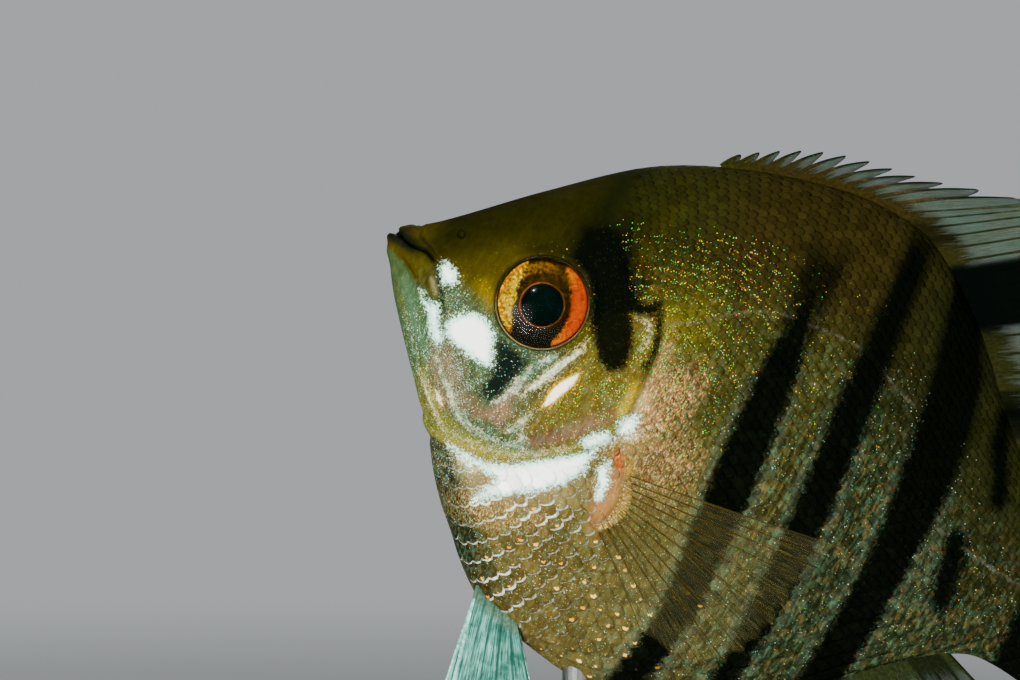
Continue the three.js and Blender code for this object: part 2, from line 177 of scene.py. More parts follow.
def bodyPoint(x, angle, margin=0.0):
    # a point of the bare body, at x and at an angle round its section: 0 is the right side, 90 the back
    x = np.asarray(x, float)
    flat = np.maximum(x, snout["roundFrom"])
    top = backLine(flat) + margin
    bottom = bellyLine(np.maximum(x, 0.5)) - margin
    half = body["halfWidth"] * widthShare(flat) + margin
    rounding = np.clip((snout["roundFrom"] - x) / snout["reach"], 0, 1)
    shrink = np.sqrt(np.maximum(1 - rounding**2, 0))
    pole = snout["pole"]
    top = pole + (top - pole) * shrink
    bottom = pole + (bottom - pole) * shrink
    across = np.cos(angle)
    y = half * shrink * np.sign(across) * np.abs(across) ** edgeSharpness(x)
    z = (top + bottom) / 2 + (top - bottom) / 2 * np.sin(angle)
    return np.stack([np.broadcast_to(x, z.shape), y, z], -1)


def surfaceNormal(point, x, angle, step=0.02):
    alongX = point(x + step, angle) - point(x - step, angle)
    turn = step / 8
    around = point(x, angle + turn) - point(x, angle - turn)
    normal = np.cross(around, alongX)
    return normal / np.maximum(np.linalg.norm(normal, axis=-1, keepdims=True), 1e-9)


# folds, ridges and pits of the skin

eyeSocket = dict(x=16.25, z=2.0, inner=4.1, outer=4.95, depth=2.6, lid=5.15, fold=6.2)
mouthLine = [(-0.9, 1.14), (0.2, 1.12), (2.1, 0.86), (3.4, 1.02), (4.4, 0.7), (4.8, 0.05)]
coverEdge = [
    (25.4, 9.2), (26.7, 7.5), (27.9, 5.2), (28.6, 2.4), (28.9, -1.2), (29.2, -4.6), (27.8, -8),
    (24.6, -11.2), (20.4, -13.9), (16.4, -15), (13.2, -15.2), (10.6, -14.6), (8.6, -12.6),
]
# Each crease is a line on the side, with rows of (offset from it, half width, height) across it.
creases = dict(
    mouth=dict(
        line=mouthLine,
        rows=[(0, 0.13, -0.8), (0.62, 0.5, 0.3), (-0.5, 0.45, 0.34)],
        fade=(0.0, 0.86),
    ),
    upperLip=dict(
        line=[(1.75, 3.6), (1.9, 2.9), (2.7, 2.0), (3.9, 1.5), (5.0, 0.8), (5.5, 0.1)],
        rows=[(0, 0.2, -0.26), (0.45, 0.4, 0.05)],
    ),
    maxillaBack=dict(
        line=[(5.2, 0.5), (5.9, -0.6), (6.8, -1.8), (7.5, -2.7), (8.1, -3.5), (8.6, -4.8)],
        rows=[(0, 0.16, -0.3), (-0.5, 0.45, 0.1), (0.4, 0.4, 0.06)],
    ),
    maxillaFront=dict(
        line=[(4.4, -0.5), (4.9, -1.5), (5.5, -2.5), (6.2, -3.3), (7.0, -3.5), (7.5, -2.9)],
        rows=[(0, 0.15, -0.28), (0.45, 0.38, 0.14)],
    ),
    jawTop=dict(
        line=[(0.9, -0.5), (2.2, -1.0), (3.6, -1.75), (5.2, -2.95), (6.8, -4.1), (7.9, -6.1), (8.6, -8.0)],
        rows=[(0.24, 0.14, -0.24), (-0.12, 0.2, 0.15)],
    ),
    jawFold=dict(
        line=[(3.5, -3.9), (5.6, -6.0), (7.6, -8.4), (9.8, -11.4), (11.2, -13.4)],
        rows=[(0, 0.2, -0.16), (0.4, 0.35, 0.12)],
    ),
    interopercle=dict(
        line=[
            (8, -7.6), (10.0, -10.2), (12.4, -12.0), (17, -12.7), (20.8, -12.1), (24.6, -10.0),
            (27.4, -6.4),
        ],
        rows=[(0, 0.2, -0.26), (-0.45, 0.34, 0.16), (0.5, 0.5, 0.14)],
    ),
    branchA=dict(
        line=[(9.6, -11.3), (12.6, -13.3), (16.6, -13.6), (20.6, -12.95), (24.6, -10.8), (27.4, -7.6)],
        rows=[(0, 0.15, -0.14), (-0.35, 0.3, 0.1)],
    ),
    branchB=dict(
        line=[(9.2, -12.6), (12.6, -14.3), (16.5, -14.4), (20.6, -13.5), (24.7, -11.1)],
        rows=[(0, 0.14, -0.12), (-0.3, 0.25, 0.08)],
    ),
    preopercle=dict(
        line=[
            (23.6, 1.2), (23.2, -1.0), (22.2, -4.0), (21.2, -6.8), (20.0, -9.2), (17.8, -10.9),
            (14.6, -11.2),
        ],
        rows=[(0.05, 0.24, 0.3), (0.6, 0.3, -0.2), (-0.5, 0.35, -0.12)],
    ),
    cheekCrease=dict(
        line=[(22.6, 2.0), (21.8, -0.6), (20.3, -3.4), (18.6, -6.2), (16.4, -8.8)],
        rows=[(0, 0.45, -0.2), (-0.85, 0.45, 0.14)],
    ),
)
pits = dict(  # (x, z, radius, depth, rim)
    nostril=(5.8, 4.2, 0.36, 0.3, 0.12),
    poreA=(8.2, 1.2, 0.12, 0.12, 0.0),
    poreB=(10.0, -0.8, 0.12, 0.12, 0.0),
    poreC=(12.2, -2.6, 0.12, 0.12, 0.0),
    poreD=(9.6, 5.6, 0.13, 0.12, 0.0),
    poreE=(13.6, 9.6, 0.13, 0.12, 0.0),
    poreF=(22.2, 10.6, 0.16, 0.14, 0.02),
    poreG=(18.2, -10.1, 0.13, 0.12, 0.0),
    poreH=(12.4, -11.4, 0.13, 0.12, 0.0),
)
swellings = [  # broad rises: (x, z, half length, half height, turn, height)
    (3.2, 2.4, 2.4, 0.9, 20, 0.1),
    (6.0, -1.7, 1.5, 0.9, -48, 0.22),  # the jaw bone's lobe
    (10.2, -3.6, 3.4, 2.4, -30, 0.16),  # the cheek's flat mirror
    (25.2, -4.5, 3.0, 4.6, -10, 0.22),
    (31.0, -11.7, 1.5, 3.5, 8, 0.65),  # the pectoral fin's fleshy foot
    (21.0, -17.5, 9.0, 3.4, 14, 0.3),  # the chest, under the gill cover
]


def skinHeight(x, z):
    # how far the skin stands out from the bare body, for places on the side
    height = np.full(x.shape, -body["coat"])
    for crease in creases.values():
        away, share = lineField(x, z, crease["line"])
        start, end = crease.get("fade", (0.04, 0.93))
        strength = smoothStep(start - 0.04, start + 0.06, share) if start > 0 else 1
        strength = strength * (1 - smoothStep(end, 1, share))
        for offset, width, rise in crease["rows"]:
            height += rise * strength * bell(away - offset, width)
    for px, pz, radius, depth, rim in pits.values():
        away = np.hypot(x - px, z - pz)
        height += rim * bell(away - 1.5 * radius, 0.5 * radius) - depth * bell(away, radius)
    for sx, sz, long, high, turn, rise in swellings:
        height += rise * smoothStep(0, 1, blobField(x, z, [(sx, sz, long, high, turn, 1)]))
    edge, share = lineField(x, z, coverEdge)
    cover = smoothStep(-0.1, 0.28, -edge) * smoothStep(16, 28, x) * smoothStep(0.0, 0.12, share)
    height += 0.46 * cover + 0.1 * bell(edge + 0.55, 0.35) * smoothStep(0.02, 0.12, share)
    height -= 0.22 * bell(edge - 0.3, 0.3) * smoothStep(0.02, 0.1, share) * (1 - smoothStep(0.86, 1, share))
    around = np.hypot(x - eyeSocket["x"], z - eyeSocket["z"])
    height += 0.2 * bell(around - eyeSocket["lid"], 0.42) - 0.1 * bell(around - eyeSocket["fold"], 0.7)
    height -= eyeSocket["depth"] * (1 - smoothStep(eyeSocket["inner"], eyeSocket["outer"], around))
    lift = smoothStep(-2.6, -0.4, z) * (1 - smoothStep(0.2, 2.4, x)) * (z < snout["pole"])
    height += 0.55 * lift
    height -= 0.34 * bell(z - 1.25, 0.4) * (1 - smoothStep(0.1, 1.2, x)) * (z >= snout["pole"])
    return height


def skinPoint(x, angle):
    bare = bodyPoint(x, angle)
    normal = surfaceNormal(bodyPoint, x, angle)
    return bare + normal * skinHeight(bare[..., 0], bare[..., 2])[..., None]


def newPiece(name, mesh, material, slot, *nodes):
    piece = bpy.data.objects.new(name, mesh)
    bpy.context.scene.collection.objects.link(piece)
    mesh.materials.append(material)
    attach(piece, "root")
    if nodes:
        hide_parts(*nodes)
    return piece


def setPoints(mesh, points):
    mesh.vertices.foreach_set("co", np.asarray(points, np.float32).ravel())
    mesh.update()


def setValues(mesh, name, values):
    values = np.asarray(values, np.float32)
    kind = "FLOAT_VECTOR" if values.ndim == 2 else "FLOAT"
    attribute = mesh.attributes.new(name, kind, "POINT")
    attribute.data.foreach_set("vector" if values.ndim == 2 else "value", values.ravel())


def gridMesh(name, columns, rows):
    # a flat grid of bmesh's own, with each vertex's share along and across
    shape = bmesh.new()
    bmesh.ops.create_grid(shape, x_segments=columns, y_segments=rows, size=1)
    mesh = bpy.data.meshes.new(name)
    shape.to_mesh(mesh)
    shape.free()
    shares = np.zeros(3 * len(mesh.vertices), np.float32)
    mesh.vertices.foreach_get("co", shares)
    shares = (shares.reshape(-1, 3) + 1) / 2
    return mesh, shares[:, 0].astype(float), shares[:, 1].astype(float)


def copiesOf(name, shape, count):
    # many copies of a small shape in one mesh, copy after copy in the shape's own order
    size = len(shape.verts)
    copy = shape.verts.layers.int.new("copy")
    part = shape.verts.layers.int.new("part")
    for i, vert in enumerate(shape.verts):
        vert[part] = i
    made = 1
    while made < count:
        more = min(made, count - made)
        verts = [vert for vert in shape.verts if vert[copy] < more]
        edges = [edge for edge in shape.edges if edge.verts[0][copy] < more]
        faces = [face for face in shape.faces if face.verts[0][copy] < more]
        fresh = bmesh.ops.duplicate(shape, geom=verts + edges + faces)["geom"]
        for vert in fresh:
            if isinstance(vert, bmesh.types.BMVert):
                vert[copy] += made
        made += more
    shape.verts.sort(key=lambda vert: vert[copy] * size + vert[part])
    shape.verts.layers.int.remove(shape.verts.layers.int["part"])
    shape.verts.layers.int.remove(shape.verts.layers.int["copy"])
    mesh = bpy.data.meshes.new(name)
    shape.to_mesh(mesh)
    shape.free()
    return mesh


def closeMesh(mesh, weld=2e-7):
    shape = bmesh.new()
    shape.from_mesh(mesh)
    if weld:
        bmesh.ops.remove_doubles(shape, verts=shape.verts, dist=weld)
    rims = [edge for edge in shape.edges if edge.is_boundary]
    if rims:
        bmesh.ops.holes_fill(shape, edges=rims, sides=0)
    bmesh.ops.recalc_face_normals(shape, faces=shape.faces)
    shape.to_mesh(mesh)
    shape.free()
    mesh.shade_smooth()


skin = dict(
    along=236,
    around=400,
    gather=0.35,  # how much closer the rows lie on the flat of the side
    stations=smoothThrough((0, -0.05), (0.03, 0.25), (0.08, 2.0), (0.66, 30), (1, 82)),
)


def makeSkin(material):
    mesh, along, around = gridMesh("fishSkin", skin["along"], skin["around"])
    turn = 2 * math.pi * around
    angle = turn - skin["gather"] * np.sin(2 * turn) / 2
    x = skin["stations"](along)
    placed = skinPoint(x, angle)
    setPoints(mesh, toPart(placed))
    setValues(mesh, "place", placed)
    bare = bodyPoint(x, angle)
    setMarks(mesh, bare[:, 0], bare[:, 2])
    bake = mesh.uv_layers.new(name="OFBake")
    corner = np.zeros(len(mesh.loops), np.int32)
    mesh.loops.foreach_get("vertex_index", corner)
    spots = np.stack([0.01 + 0.98 * x / 83, 0.01 + 0.98 * around], -1)
    bake.data.foreach_set("uv", spots[corner].astype(np.float32).ravel())
    closeMesh(mesh)
    print("skin", len(mesh.polygons), "faces")
    return newPiece(
        "fish_skin", mesh, material, "skin",
        "head", "lower_jaw", "gill_cover_left", "gill_cover_right", "trunk", "tail_stalk",
    )


# markings, shared by the skin and the scales

tones = dict(
    # the flank, chest and back
    flank=(43, 42, 9), flankLow=(64, 58, 25), rear=(20, 25, 7), rearLow=(34, 41, 21), gold=(87, 80, 6),
    chest=(67, 56, 20), chestFront=(10, 20, 9), chestPale=(176, 150, 98), nape=(28, 29, 5),
    back=(31, 26, 6), blush=(115, 93, 52), foot=(131, 91, 48), axil=(123, 44, 0), barEdge=(76, 90, 70),
    # the head
    forehead=(9, 13, 1), face=(51, 44, 0), faceDeep=(23, 22, 1), jaw=(42, 60, 32), lips=(8, 13, 6),
    cheek=(44, 56, 32), cheekPink=(92, 70, 48), opercle=(68, 58, 13), membrane=(82, 80, 14),
    maxilla=(43, 38, 3), groove=(50, 34, 8),
    # bands and bars anywhere
    pink=(112, 78, 56), purple=(86, 62, 46), glow=(150, 122, 14), pale=(150, 140, 96), olive=(52, 52, 4),
    teal=(60, 88, 66), shade=(3, 5, 1),
)


def linearTone(r, g, b):
    share = np.array([r, g, b], float) / 255
    return np.where(share <= 0.04045, share / 12.92, ((share + 0.055) / 1.055) ** 2.4)


def shapeField(x, z, outline):
    # signed distance to a closed outline, positive inside
    corners = np.array(outline, float)
    best = np.full(np.shape(x), 1e9)
    inside = np.zeros(np.shape(x), bool)
    for (ax, az), (bx, bz) in zip(corners, np.roll(corners, -1, axis=0)):
        dx, dz = bx - ax, bz - az
        share = np.clip(((x - ax) * dx + (z - az) * dz) / (dx * dx + dz * dz), 0, 1)
        best = np.minimum(best, np.hypot(x - ax - share * dx, z - az - share * dz))
        crosses = (az > z) != (bz > z)
        at = ax + (z - az) * dx / (dz if dz else 1e-9)
        inside ^= crosses & (x < at)
    return np.where(inside, best, -best)


flankBars = dict(  # each bar's front and rear edge, as x over z, its top and how far it wears away there
    first=dict(
        front=smoothThrough((-30, 39.4), (-20, 41), (-10, 39.8), (0, 38.7), (10, 38.3), (20, 37.4)),
        rear=smoothThrough((-30, 42.6), (-20, 44.2), (-10, 43.8), (0, 42.9), (10, 41.5), (20, 40.6)),
        top=19.0, fade=1.3,
    ),
    second=dict(
        front=smoothThrough(
            (-30, 48.4), (-20, 49), (-10, 48.5), (0, 47.5), (10, 46.6), (20, 46.1), (27, 45.8),
        ),
        rear=smoothThrough(
            (-30, 50.6), (-20, 51.4), (-10, 51.8), (0, 51), (10, 50), (20, 48.7), (27, 47.9),
        ),
        top=25.7, fade=0.3,
    ),
    third=dict(
        front=smoothThrough(
            (-28, 56), (-15, 56.8), (-5, 56.8), (5, 55.7), (15, 54), (20, 52.8), (26, 51.2),
        ),
        rear=smoothThrough((-28, 60), (-15, 60.8), (-5, 61), (5, 60.8), (15, 59), (20, 56.6), (26, 55.6)),
        top=40, fade=0,
    ),
    stalk=dict(
        front=smoothThrough((-10, 73.4), (0, 72.8), (10, 73.2)),
        rear=smoothThrough((-10, 77.4), (0, 77.6), (10, 77.2)), top=40, fade=0,
    ),
)
eyeBar = [
    (16.0, 10.8), (18.0, 12.4), (20.1, 12.6), (21.3, 11), (22.1, 9.4), (23.3, 7.8), (24.6, 6.7),
    (25.4, 6.9), (26.3, 7.7), (26.9, 7.1), (26.6, 5.9), (25.6, 5.6), (24.5, 5.2), (25.2, 4.5),
    (26.0, 3.0), (26.6, 1.1), (26.4, -0.1), (25.3, -1.0), (23.9, -0.5), (22.5, 1.1), (21.0, 3.0),
    (20.3, 5), (19, 6.6), (17, 7.6),
]
mirrors = [  # the silver places, from the snout to the chest, painted near white as highlights of the light on them
    [(5.5, 0.2), (5.8, 1.0), (6.9, 0.7), (7.7, -0.2), (7.4, -0.7), (6.4, -0.9)],
    [
        (8.8, -4.3), (9.6, -3.0), (10.9, -2.1), (12.3, -2.3), (13.4, -3.1), (14.1, -4.5),
        (14.6, -6.0), (13.6, -6.2), (11.7, -6.0), (10.3, -5.7), (9.3, -5.3),
    ],
    [
        (5.1, -2.8), (5.8, -3.4), (7.1, -3.2), (7.7, -4.0), (8.0, -4.9), (9.1, -5.8),
        (9.0, -6.5), (8.3, -6.4), (7.3, -5.3), (6.7, -4.3), (5.8, -3.7),
    ],
    [
        (14.5, -15.0), (16.3, -14.9), (18.2, -14.9), (19.8, -14.5), (21.5, -13.6), (23.3, -12.1),
        (25.1, -10.7), (27.0, -9.2), (27.9, -8.3), (27.7, -9.7), (27.7, -11.0), (27.0, -12.0),
        (26.1, -13.2), (25.0, -14.2), (24.0, -15.2), (22.3, -16.3), (20.9, -17.4), (20.0, -18.2),
        (19.4, -18.8), (19.8, -17.6), (20.3, -16.4), (20.3, -15.5), (19.0, -15.4), (16.9, -15.4),
        (15.2, -15.3),
    ],
    [(26.2, -8.2), (27.0, -7.0), (28.1, -6.2), (28.8, -6.5), (28.1, -7.8), (27.0, -8.6)],
    [(28.7, -4.5), (29.6, -3.3), (30.1, -3.4), (30.2, -5.2), (29.6, -5.8), (28.8, -5.7)],
    [(28.9, -9.4), (29.4, -8.8), (30.1, -10.1), (30.6, -11.8), (30.2, -12.7), (29.3, -10.8)],
]
darkCheek = [
    (13.8, -3.8), (14.5, -3.1), (16.4, -3.4), (17.7, -4.0), (17.5, -5.3), (17.3, -6.6),
    (17.1, -8.0), (16.3, -9.2), (15.0, -8.9), (15.0, -7.4), (15.0, -6.1), (14.6, -5.0),
]
axilOutline = [(29.4, -7.3), (30.2, -7.6), (31.5, -9.1), (30.8, -9.0), (29.8, -8.7)]
gleams = [  # bright golden and silver bands, partly the fish's own and partly painted highlights along the gill cover's ridges: a line, its half width, and how golden it is
    ([(21.9, 1.5), (21.8, -0.3), (21.0, -2.2), (20.1, -4.2), (19.2, -6.2), (18.5, -8.1)], 0.5, 0.55),
    ([(23.0, -1.8), (22.5, -3.4), (21.8, -5.0), (21.4, -6.6), (20.9, -7.7)], 0.66, 1.0),
    ([(19.0, -3.0), (18.4, -4.3), (18.0, -6.0), (17.3, -8.3), (16.2, -9.5)], 0.34, 0.1),
    ([(20.6, -7.9), (20.2, -9.2), (19.7, -10.3), (19.1, -11.5)], 0.34, 0.2),
    ([(19.8, -10.5), (20.8, -10.8), (21.1, -11.5), (19.6, -12.1)], 0.3, 0.0),
    ([(9.0, -7.4), (10.7, -8.9), (12.6, -10.5), (14.5, -12.0), (17.4, -12.5), (20.4, -12.1)], 0.26, 0.1),
    ([(8.1, -9.4), (9.8, -10.9), (11.5, -12.4), (13.5, -13.7)], 0.24, 0.6),
    ([(10.6, -10.5), (11.5, -11.3), (12.6, -12.1)], 0.42, 0.8),
    (
        [
            (12.3, -13.5), (14.0, -13.9), (15.7, -13.8), (18.4, -13.4), (21.3, -12.4), (23.8, -10.7),
            (26.6, -8.5),
        ],
        0.16, 0.4,
    ),
    ([(14.3, -15.2), (15.9, -15.4), (17.6, -15.7), (19.4, -15.3)], 0.34, 0.1),
    ([(26.6, -8.6), (28.2, -7.9), (29.3, -6.4), (30.7, -5.2), (31.3, -3.6)], 0.2, 0.2),
    ([(25.0, 5.2), (26.5, 5.2), (27.2, 3.6), (26.7, 2.0)], 0.14, 0.25),
    ([(18.2, -4.4), (19.2, -3.0), (20.0, -1.7)], 0.24, 0.0),
]
gillBand = [(20.6, -12.0), (22.9, -9.9), (24.8, -7.7), (26.5, -5.5), (27.9, -3.4)]
strokes = [  # softer bands of a tone: its name, a line, half width and strength
    ("pink", [(18.3, -5.4), (18.0, -7.1), (17.4, -9.2), (16.7, -10.4), (15.1, -11.1)], 0.55, 0.75),
    ("pink", [(18.8, -8.6), (18.1, -9.7), (17.8, -11.2)], 0.6, 0.7),
    ("purple", [(21.4, -11.1), (23.6, -9.4), (25.7, -7.3), (27.5, -5.3), (28.2, -3.9)], 0.45, 0.85),
    # painted shade along the grooves of the gill cover and the cheek
    ("groove", [(21.3, -10.5), (23.0, -9.1), (24.3, -7.6)], 0.4, 0.8),
    ("groove", [(22.5, 0.6), (21.6, -1.9), (20.8, -4.3), (19.8, -6.5)], 0.34, 0.85),
    ("opercle", [(22.7, -0.6), (22.3, -2.2), (21.2, -5.1), (20.0, -7.3)], 0.3, 0.7),
    ("glow", [(28.2, -0.3), (28.4, -1.5), (28.5, -2.9), (28.1, -4.5)], 0.6, 0.8),
    ("pale", [(29.7, -0.7), (29.6, -2.1), (29.7, -3.1)], 0.5, 0.8),
    ("glow", [(12.2, -14.5), (14.2, -14.5), (16.4, -14.3), (18.6, -13.9), (21.2, -13.0)], 0.4, 0.45),
    ("glow", [(30.5, -7.3), (31.4, -8.1), (31.8, -9.2)], 0.35, 0.7),
    ("olive", [(1.3, -1.6), (3.2, -4.2), (6.0, -7.1), (8.6, -10.0)], 0.35, 0.6),
    ("teal", [(2.4, -2.1), (4.7, -4.7), (7.4, -7.2), (9.3, -8.8)], 0.6, 0.55),
    ("olive", [(3.3, 0.2), (4.6, -1.3), (6.4, -3.0)], 0.5, 0.7),
    ("glow", [(9.6, 1.4), (10.8, 0.2), (12.6, -0.9)], 0.9, 0.2),
    ("olive", [(27.2, 4.4), (26.9, 2.8), (26.7, 1.0)], 0.7, 0.5),
    ("jaw", [(6.3, -7.6), (8.2, -9.6), (9.6, -11.2)], 0.5, 0.7),
    ("lips", [(0.2, 0.3), (1.6, 0.5), (2.9, 1.0), (4.1, 0.9), (5.0, 0.2)], 0.3, 0.75),
    ("lips", [(0.5, 1.4), (0.9, 2.3), (1.6, 2.9)], 0.3, 0.6),
    ("maxilla", [(3.5, -0.4), (4.9, -1.6), (6.2, -2.6)], 0.36, 0.7),
    # painted shade in the creases of the jaw bone and the upper lip, and a painted highlight on the jaw
    # bone's lobe between them
    ("shade", [(5.0, 0.4), (5.9, -0.6), (6.8, -1.8), (7.6, -2.9), (8.2, -3.9)], 0.17, 0.75),
    ("shade", [(4.2, -0.5), (4.9, -1.5), (5.6, -2.6), (6.6, -3.5)], 0.13, 0.5),
    ("pale", [(5.2, -0.9), (6.0, -1.7), (6.8, -2.5)], 0.24, 0.3),
    ("shade", [(1.75, 3.4), (1.9, 2.8), (2.7, 2.0), (3.9, 1.5), (5.0, 0.8)], 0.16, 0.6),
    ("purple", gillBand, 0.75, 0.7),
    ("olive", [(8.5, -10.1), (10.4, -12.1), (12.4, -13.6), (14.5, -14.4)], 0.7, 0.6),
]
sideLine = [  # the lateral line's two runs, each with its half width
    (
        [
            (28.5, 6.3), (31, 8), (34, 10.5), (37, 12.2), (42, 13), (45, 13.2), (48, 12.9), (51, 11.5),
            (54, 10.7),
        ],
        0.06,
    ),
    ([(60.5, 1), (63, 0.9), (66, 0.4), (70, 0), (81, -0.3)], 0.1),
]
lateBars = dict(  # thin bars behind the third: a line, its half width and how sharply it ends
    streak=([(62.7, 14), (63.6, 11), (65.0, 8.6), (65.9, 6.4)], 0.6, 1.0),
    blotch=([(64.0, 0.6), (64.7, -2.0), (65.4, -5.0)], 0.9, 0.8),
)


def barDepth(x, z, fading=0.0):
    # how deep a place lies inside a bar, and how far the bars wear away at their tops
    depth = np.full(np.shape(x), -9.0)
    for bar in flankBars.values():
        inside = np.minimum(x - bar["front"](z), bar["rear"](z) - x)
        inside = np.minimum(inside, (bar["top"] - z) * 0.35) - fading * bar["fade"] * smoothStep(7, 17, z)
        depth = np.maximum(depth, inside)
    for line, half, slope in lateBars.values():
        away, _ = lineField(x, z, line)
        depth = np.maximum(depth, half - slope * np.abs(away))
    return depth


jawBone = (5.9, -1.7, 1.5, 0.85, -52, 1)
freshPlaces = [
    (7.0, -1.2, 1.6, 2.2, 20, 1), (8.5, -1.8, 1.6, 1.3, -45, 1.2), (9.6, -6.6, 2.6, 2.6, -40, 1),
    (12.4, -8.6, 3.4, 1.6, -30, 1), (15.8, -6.4, 2.2, 2.4, 0, 0.8),
]
rosyPlaces = [
    (30.6, -2.6, 2.4, 5.6, -22, 1.1), (34.0, -7.0, 3.6, 4.2, -20, 0.6), (28.6, 2.6, 1.2, 3.0, 0, 0.6),
]


def zonesAt(x, z):
    # the places that several marks go by
    edge, _ = lineField(x, z, coverEdge)
    return SimpleNamespace(
        edge=edge,  # how far behind the gill cover's edge
        back=backLine(np.maximum(x, 1)),
        belly=bellyLine(np.maximum(x, 1)),
        head=np.where(z > 9, smoothStep(24.5, 20.5, x), smoothStep(0.15, -0.15, edge)),
        cover=smoothStep(20.6, 22.6, x + 0.25 * (z + 5)),
        chest=smoothStep(-9, -15, z) * (1 - smoothStep(29, 41, x)),
        bars=barDepth(x, z),
    )


def bodyTones(x, z, zone):
    # the flank's tones and how much of each lies over those before it
    back, chest = zone.back, zone.chest
    yield "flankLow", smoothStep(2, -12, z)
    yield "gold", 0.5 * blobField(x, z, [(27, 9, 4, 6, 40, 1), (29.5, -3, 3, 6, 0, 0.5)])
    yield "rear", 0.9 * smoothStep(36, 55, x)
    yield "rearLow", smoothStep(42, 60, x) * smoothStep(4, -14, z)
    yield "chest", 0.9 * chest
    # paler just below the gill cover's edge: painted light spreading round the chest's painted highlight
    yield "chestPale", chest * smoothStep(6.0, 1.0, np.abs(zone.edge)) * 0.4
    front = smoothStep(31, 21, x) * smoothStep(12, 14, x - 0.2 * z)
    yield "chestFront", 0.95 * smoothStep(6.0, 2.2, z - zone.belly) * front
    yield "blush", 0.75 * blobField(x, z, [(30.6, -4.4, 1.6, 4.2, 0, 1), (29.4, 1.0, 0.9, 3.0, 0, 0.5)])
    rosy = [(30.6, -2.6, 2.4, 5.2, -22, 1.0), (33.4, -7.0, 3.0, 3.6, -20, 0.5)]
    yield "pink", 0.45 * blobField(x, z, rosy)
    # the back and nape darken towards the top: partly the fish's own darker back, partly painted shade on
    # the upper side, turned from the light
    yield "back", smoothStep(back - 20, back - 9, z)
    yield "nape", smoothStep(back - 19, back - 8, z) * smoothStep(32, 24, x)
    yield "rear", 0.7 * smoothStep(43, 54, x)


def headTones(x, z, zone):
    # the same for the head, from the forehead down to the gills
    back, head = zone.back, zone.head
    yield "face", head
    # the forehead, the upper face, the brow above the eye and the nape darken: partly the fish's own
    # colour, partly painted shade on the upper side, turned from the light
    yield "forehead", head * smoothStep(back - 6.6, back - 2.2, z) * smoothStep(1.5, 5, x)
    yield "faceDeep", head * 0.8 * smoothStep(back - 10, back - 4, z) * smoothStep(2.5, 6, x)
    yield "forehead", head * 0.92 * smoothStep(12.0, 17.5, x) * smoothStep(4.5, 8.5, z)
    yield "faceDeep", head * 0.85 * smoothStep(10, 13, x) * smoothStep(4.8, 6.6, z) * smoothStep(18, 15, x)
    yield "nape", head * smoothStep(17, 22, x) * smoothStep(back - 9, back - 3, z)
    yield "cheek", head * smoothStep(0.6, -2.4, z + 0.12 * (x - 12)) * smoothStep(3.6, 6.6, x - 0.25 * z)
    rosy = [(10.8, -8.8, 3.0, 1.8, -48, 0.8), (13.4, -10.6, 2.4, 1.4, 0, 0.7)]
    yield "cheekPink", head * 0.8 * blobField(x, z, rosy)
    yield "opercle", head * smoothStep(20.4, 22.8, x - 0.35 * z - 0.5) * smoothStep(-12.6, -9.5, z)
    jawEdge, _ = lineField(x, z, creases["jawTop"]["line"])
    yield "jaw", head * smoothStep(0.1, -0.5, jawEdge) * smoothStep(10.4, 7.8, x) * smoothStep(-15, -11, z)
    yield "maxilla", head * blobField(x, z, [jawBone])
    mouth, share = lineField(x, z, mouthLine)
    gape = bell(np.maximum(np.abs(mouth) - 0.35, 0), 0.6)
    yield "lips", 0.95 * gape * (1 - smoothStep(0.45, 0.8, share))
    yield "lips", 0.5 * bell(mouth, 0.5) * (1 - smoothStep(0.7, 1, share))
    gills, _ = lineField(x, z, creases["interopercle"]["line"])
    under = head * smoothStep(0.2, -0.5, gills) * smoothStep(7.0, 10.5, x)
    yield "membrane", under * smoothStep(0.2, -0.2, zone.edge)


def bandTones(x, z, zone):
    # soft bands, the pectoral fin's foot, and the shade round the bars
    for name, line, half, strength in strokes:
        away, share = lineField(x, z, line)
        yield name, strength * bell(away, half) * swell(share)
    yield "foot", blobField(x, z, [(30.9, -11.7, 1.2, 3.3, 8, 1.1)])
    yield "axil", smoothStep(-0.25, 0.25, shapeField(x, z, axilOutline))
    pale = bell(zone.bars + 0.5, 0.42) * smoothStep(10, -2, z) * smoothStep(66, 60, x)
    yield "barEdge", 0.34 * pale
    yield "shade", 0.85 * smoothStep(-1.3, 0.5, zone.bars)
    nearBar = smoothStep(-2.2, 0.6, shapeField(x, z, eyeBar) - 0.25 * np.maximum(z - 8, 0))
    yield "shade", 0.9 * nearBar * smoothStep(5.5, 8.5, z + 0.8 * (26 - x))


def tintAt(x, z, zone):
    color = np.broadcast_to(linearTone(*tones["flank"]), (*np.shape(x), 3)).copy()
    for layers in (bodyTones, headTones, bandTones):
        for name, mask in layers(x, z, zone):
            color += (linearTone(*tones[name]) - color) * np.clip(mask, 0, 1)[..., None]
    return color


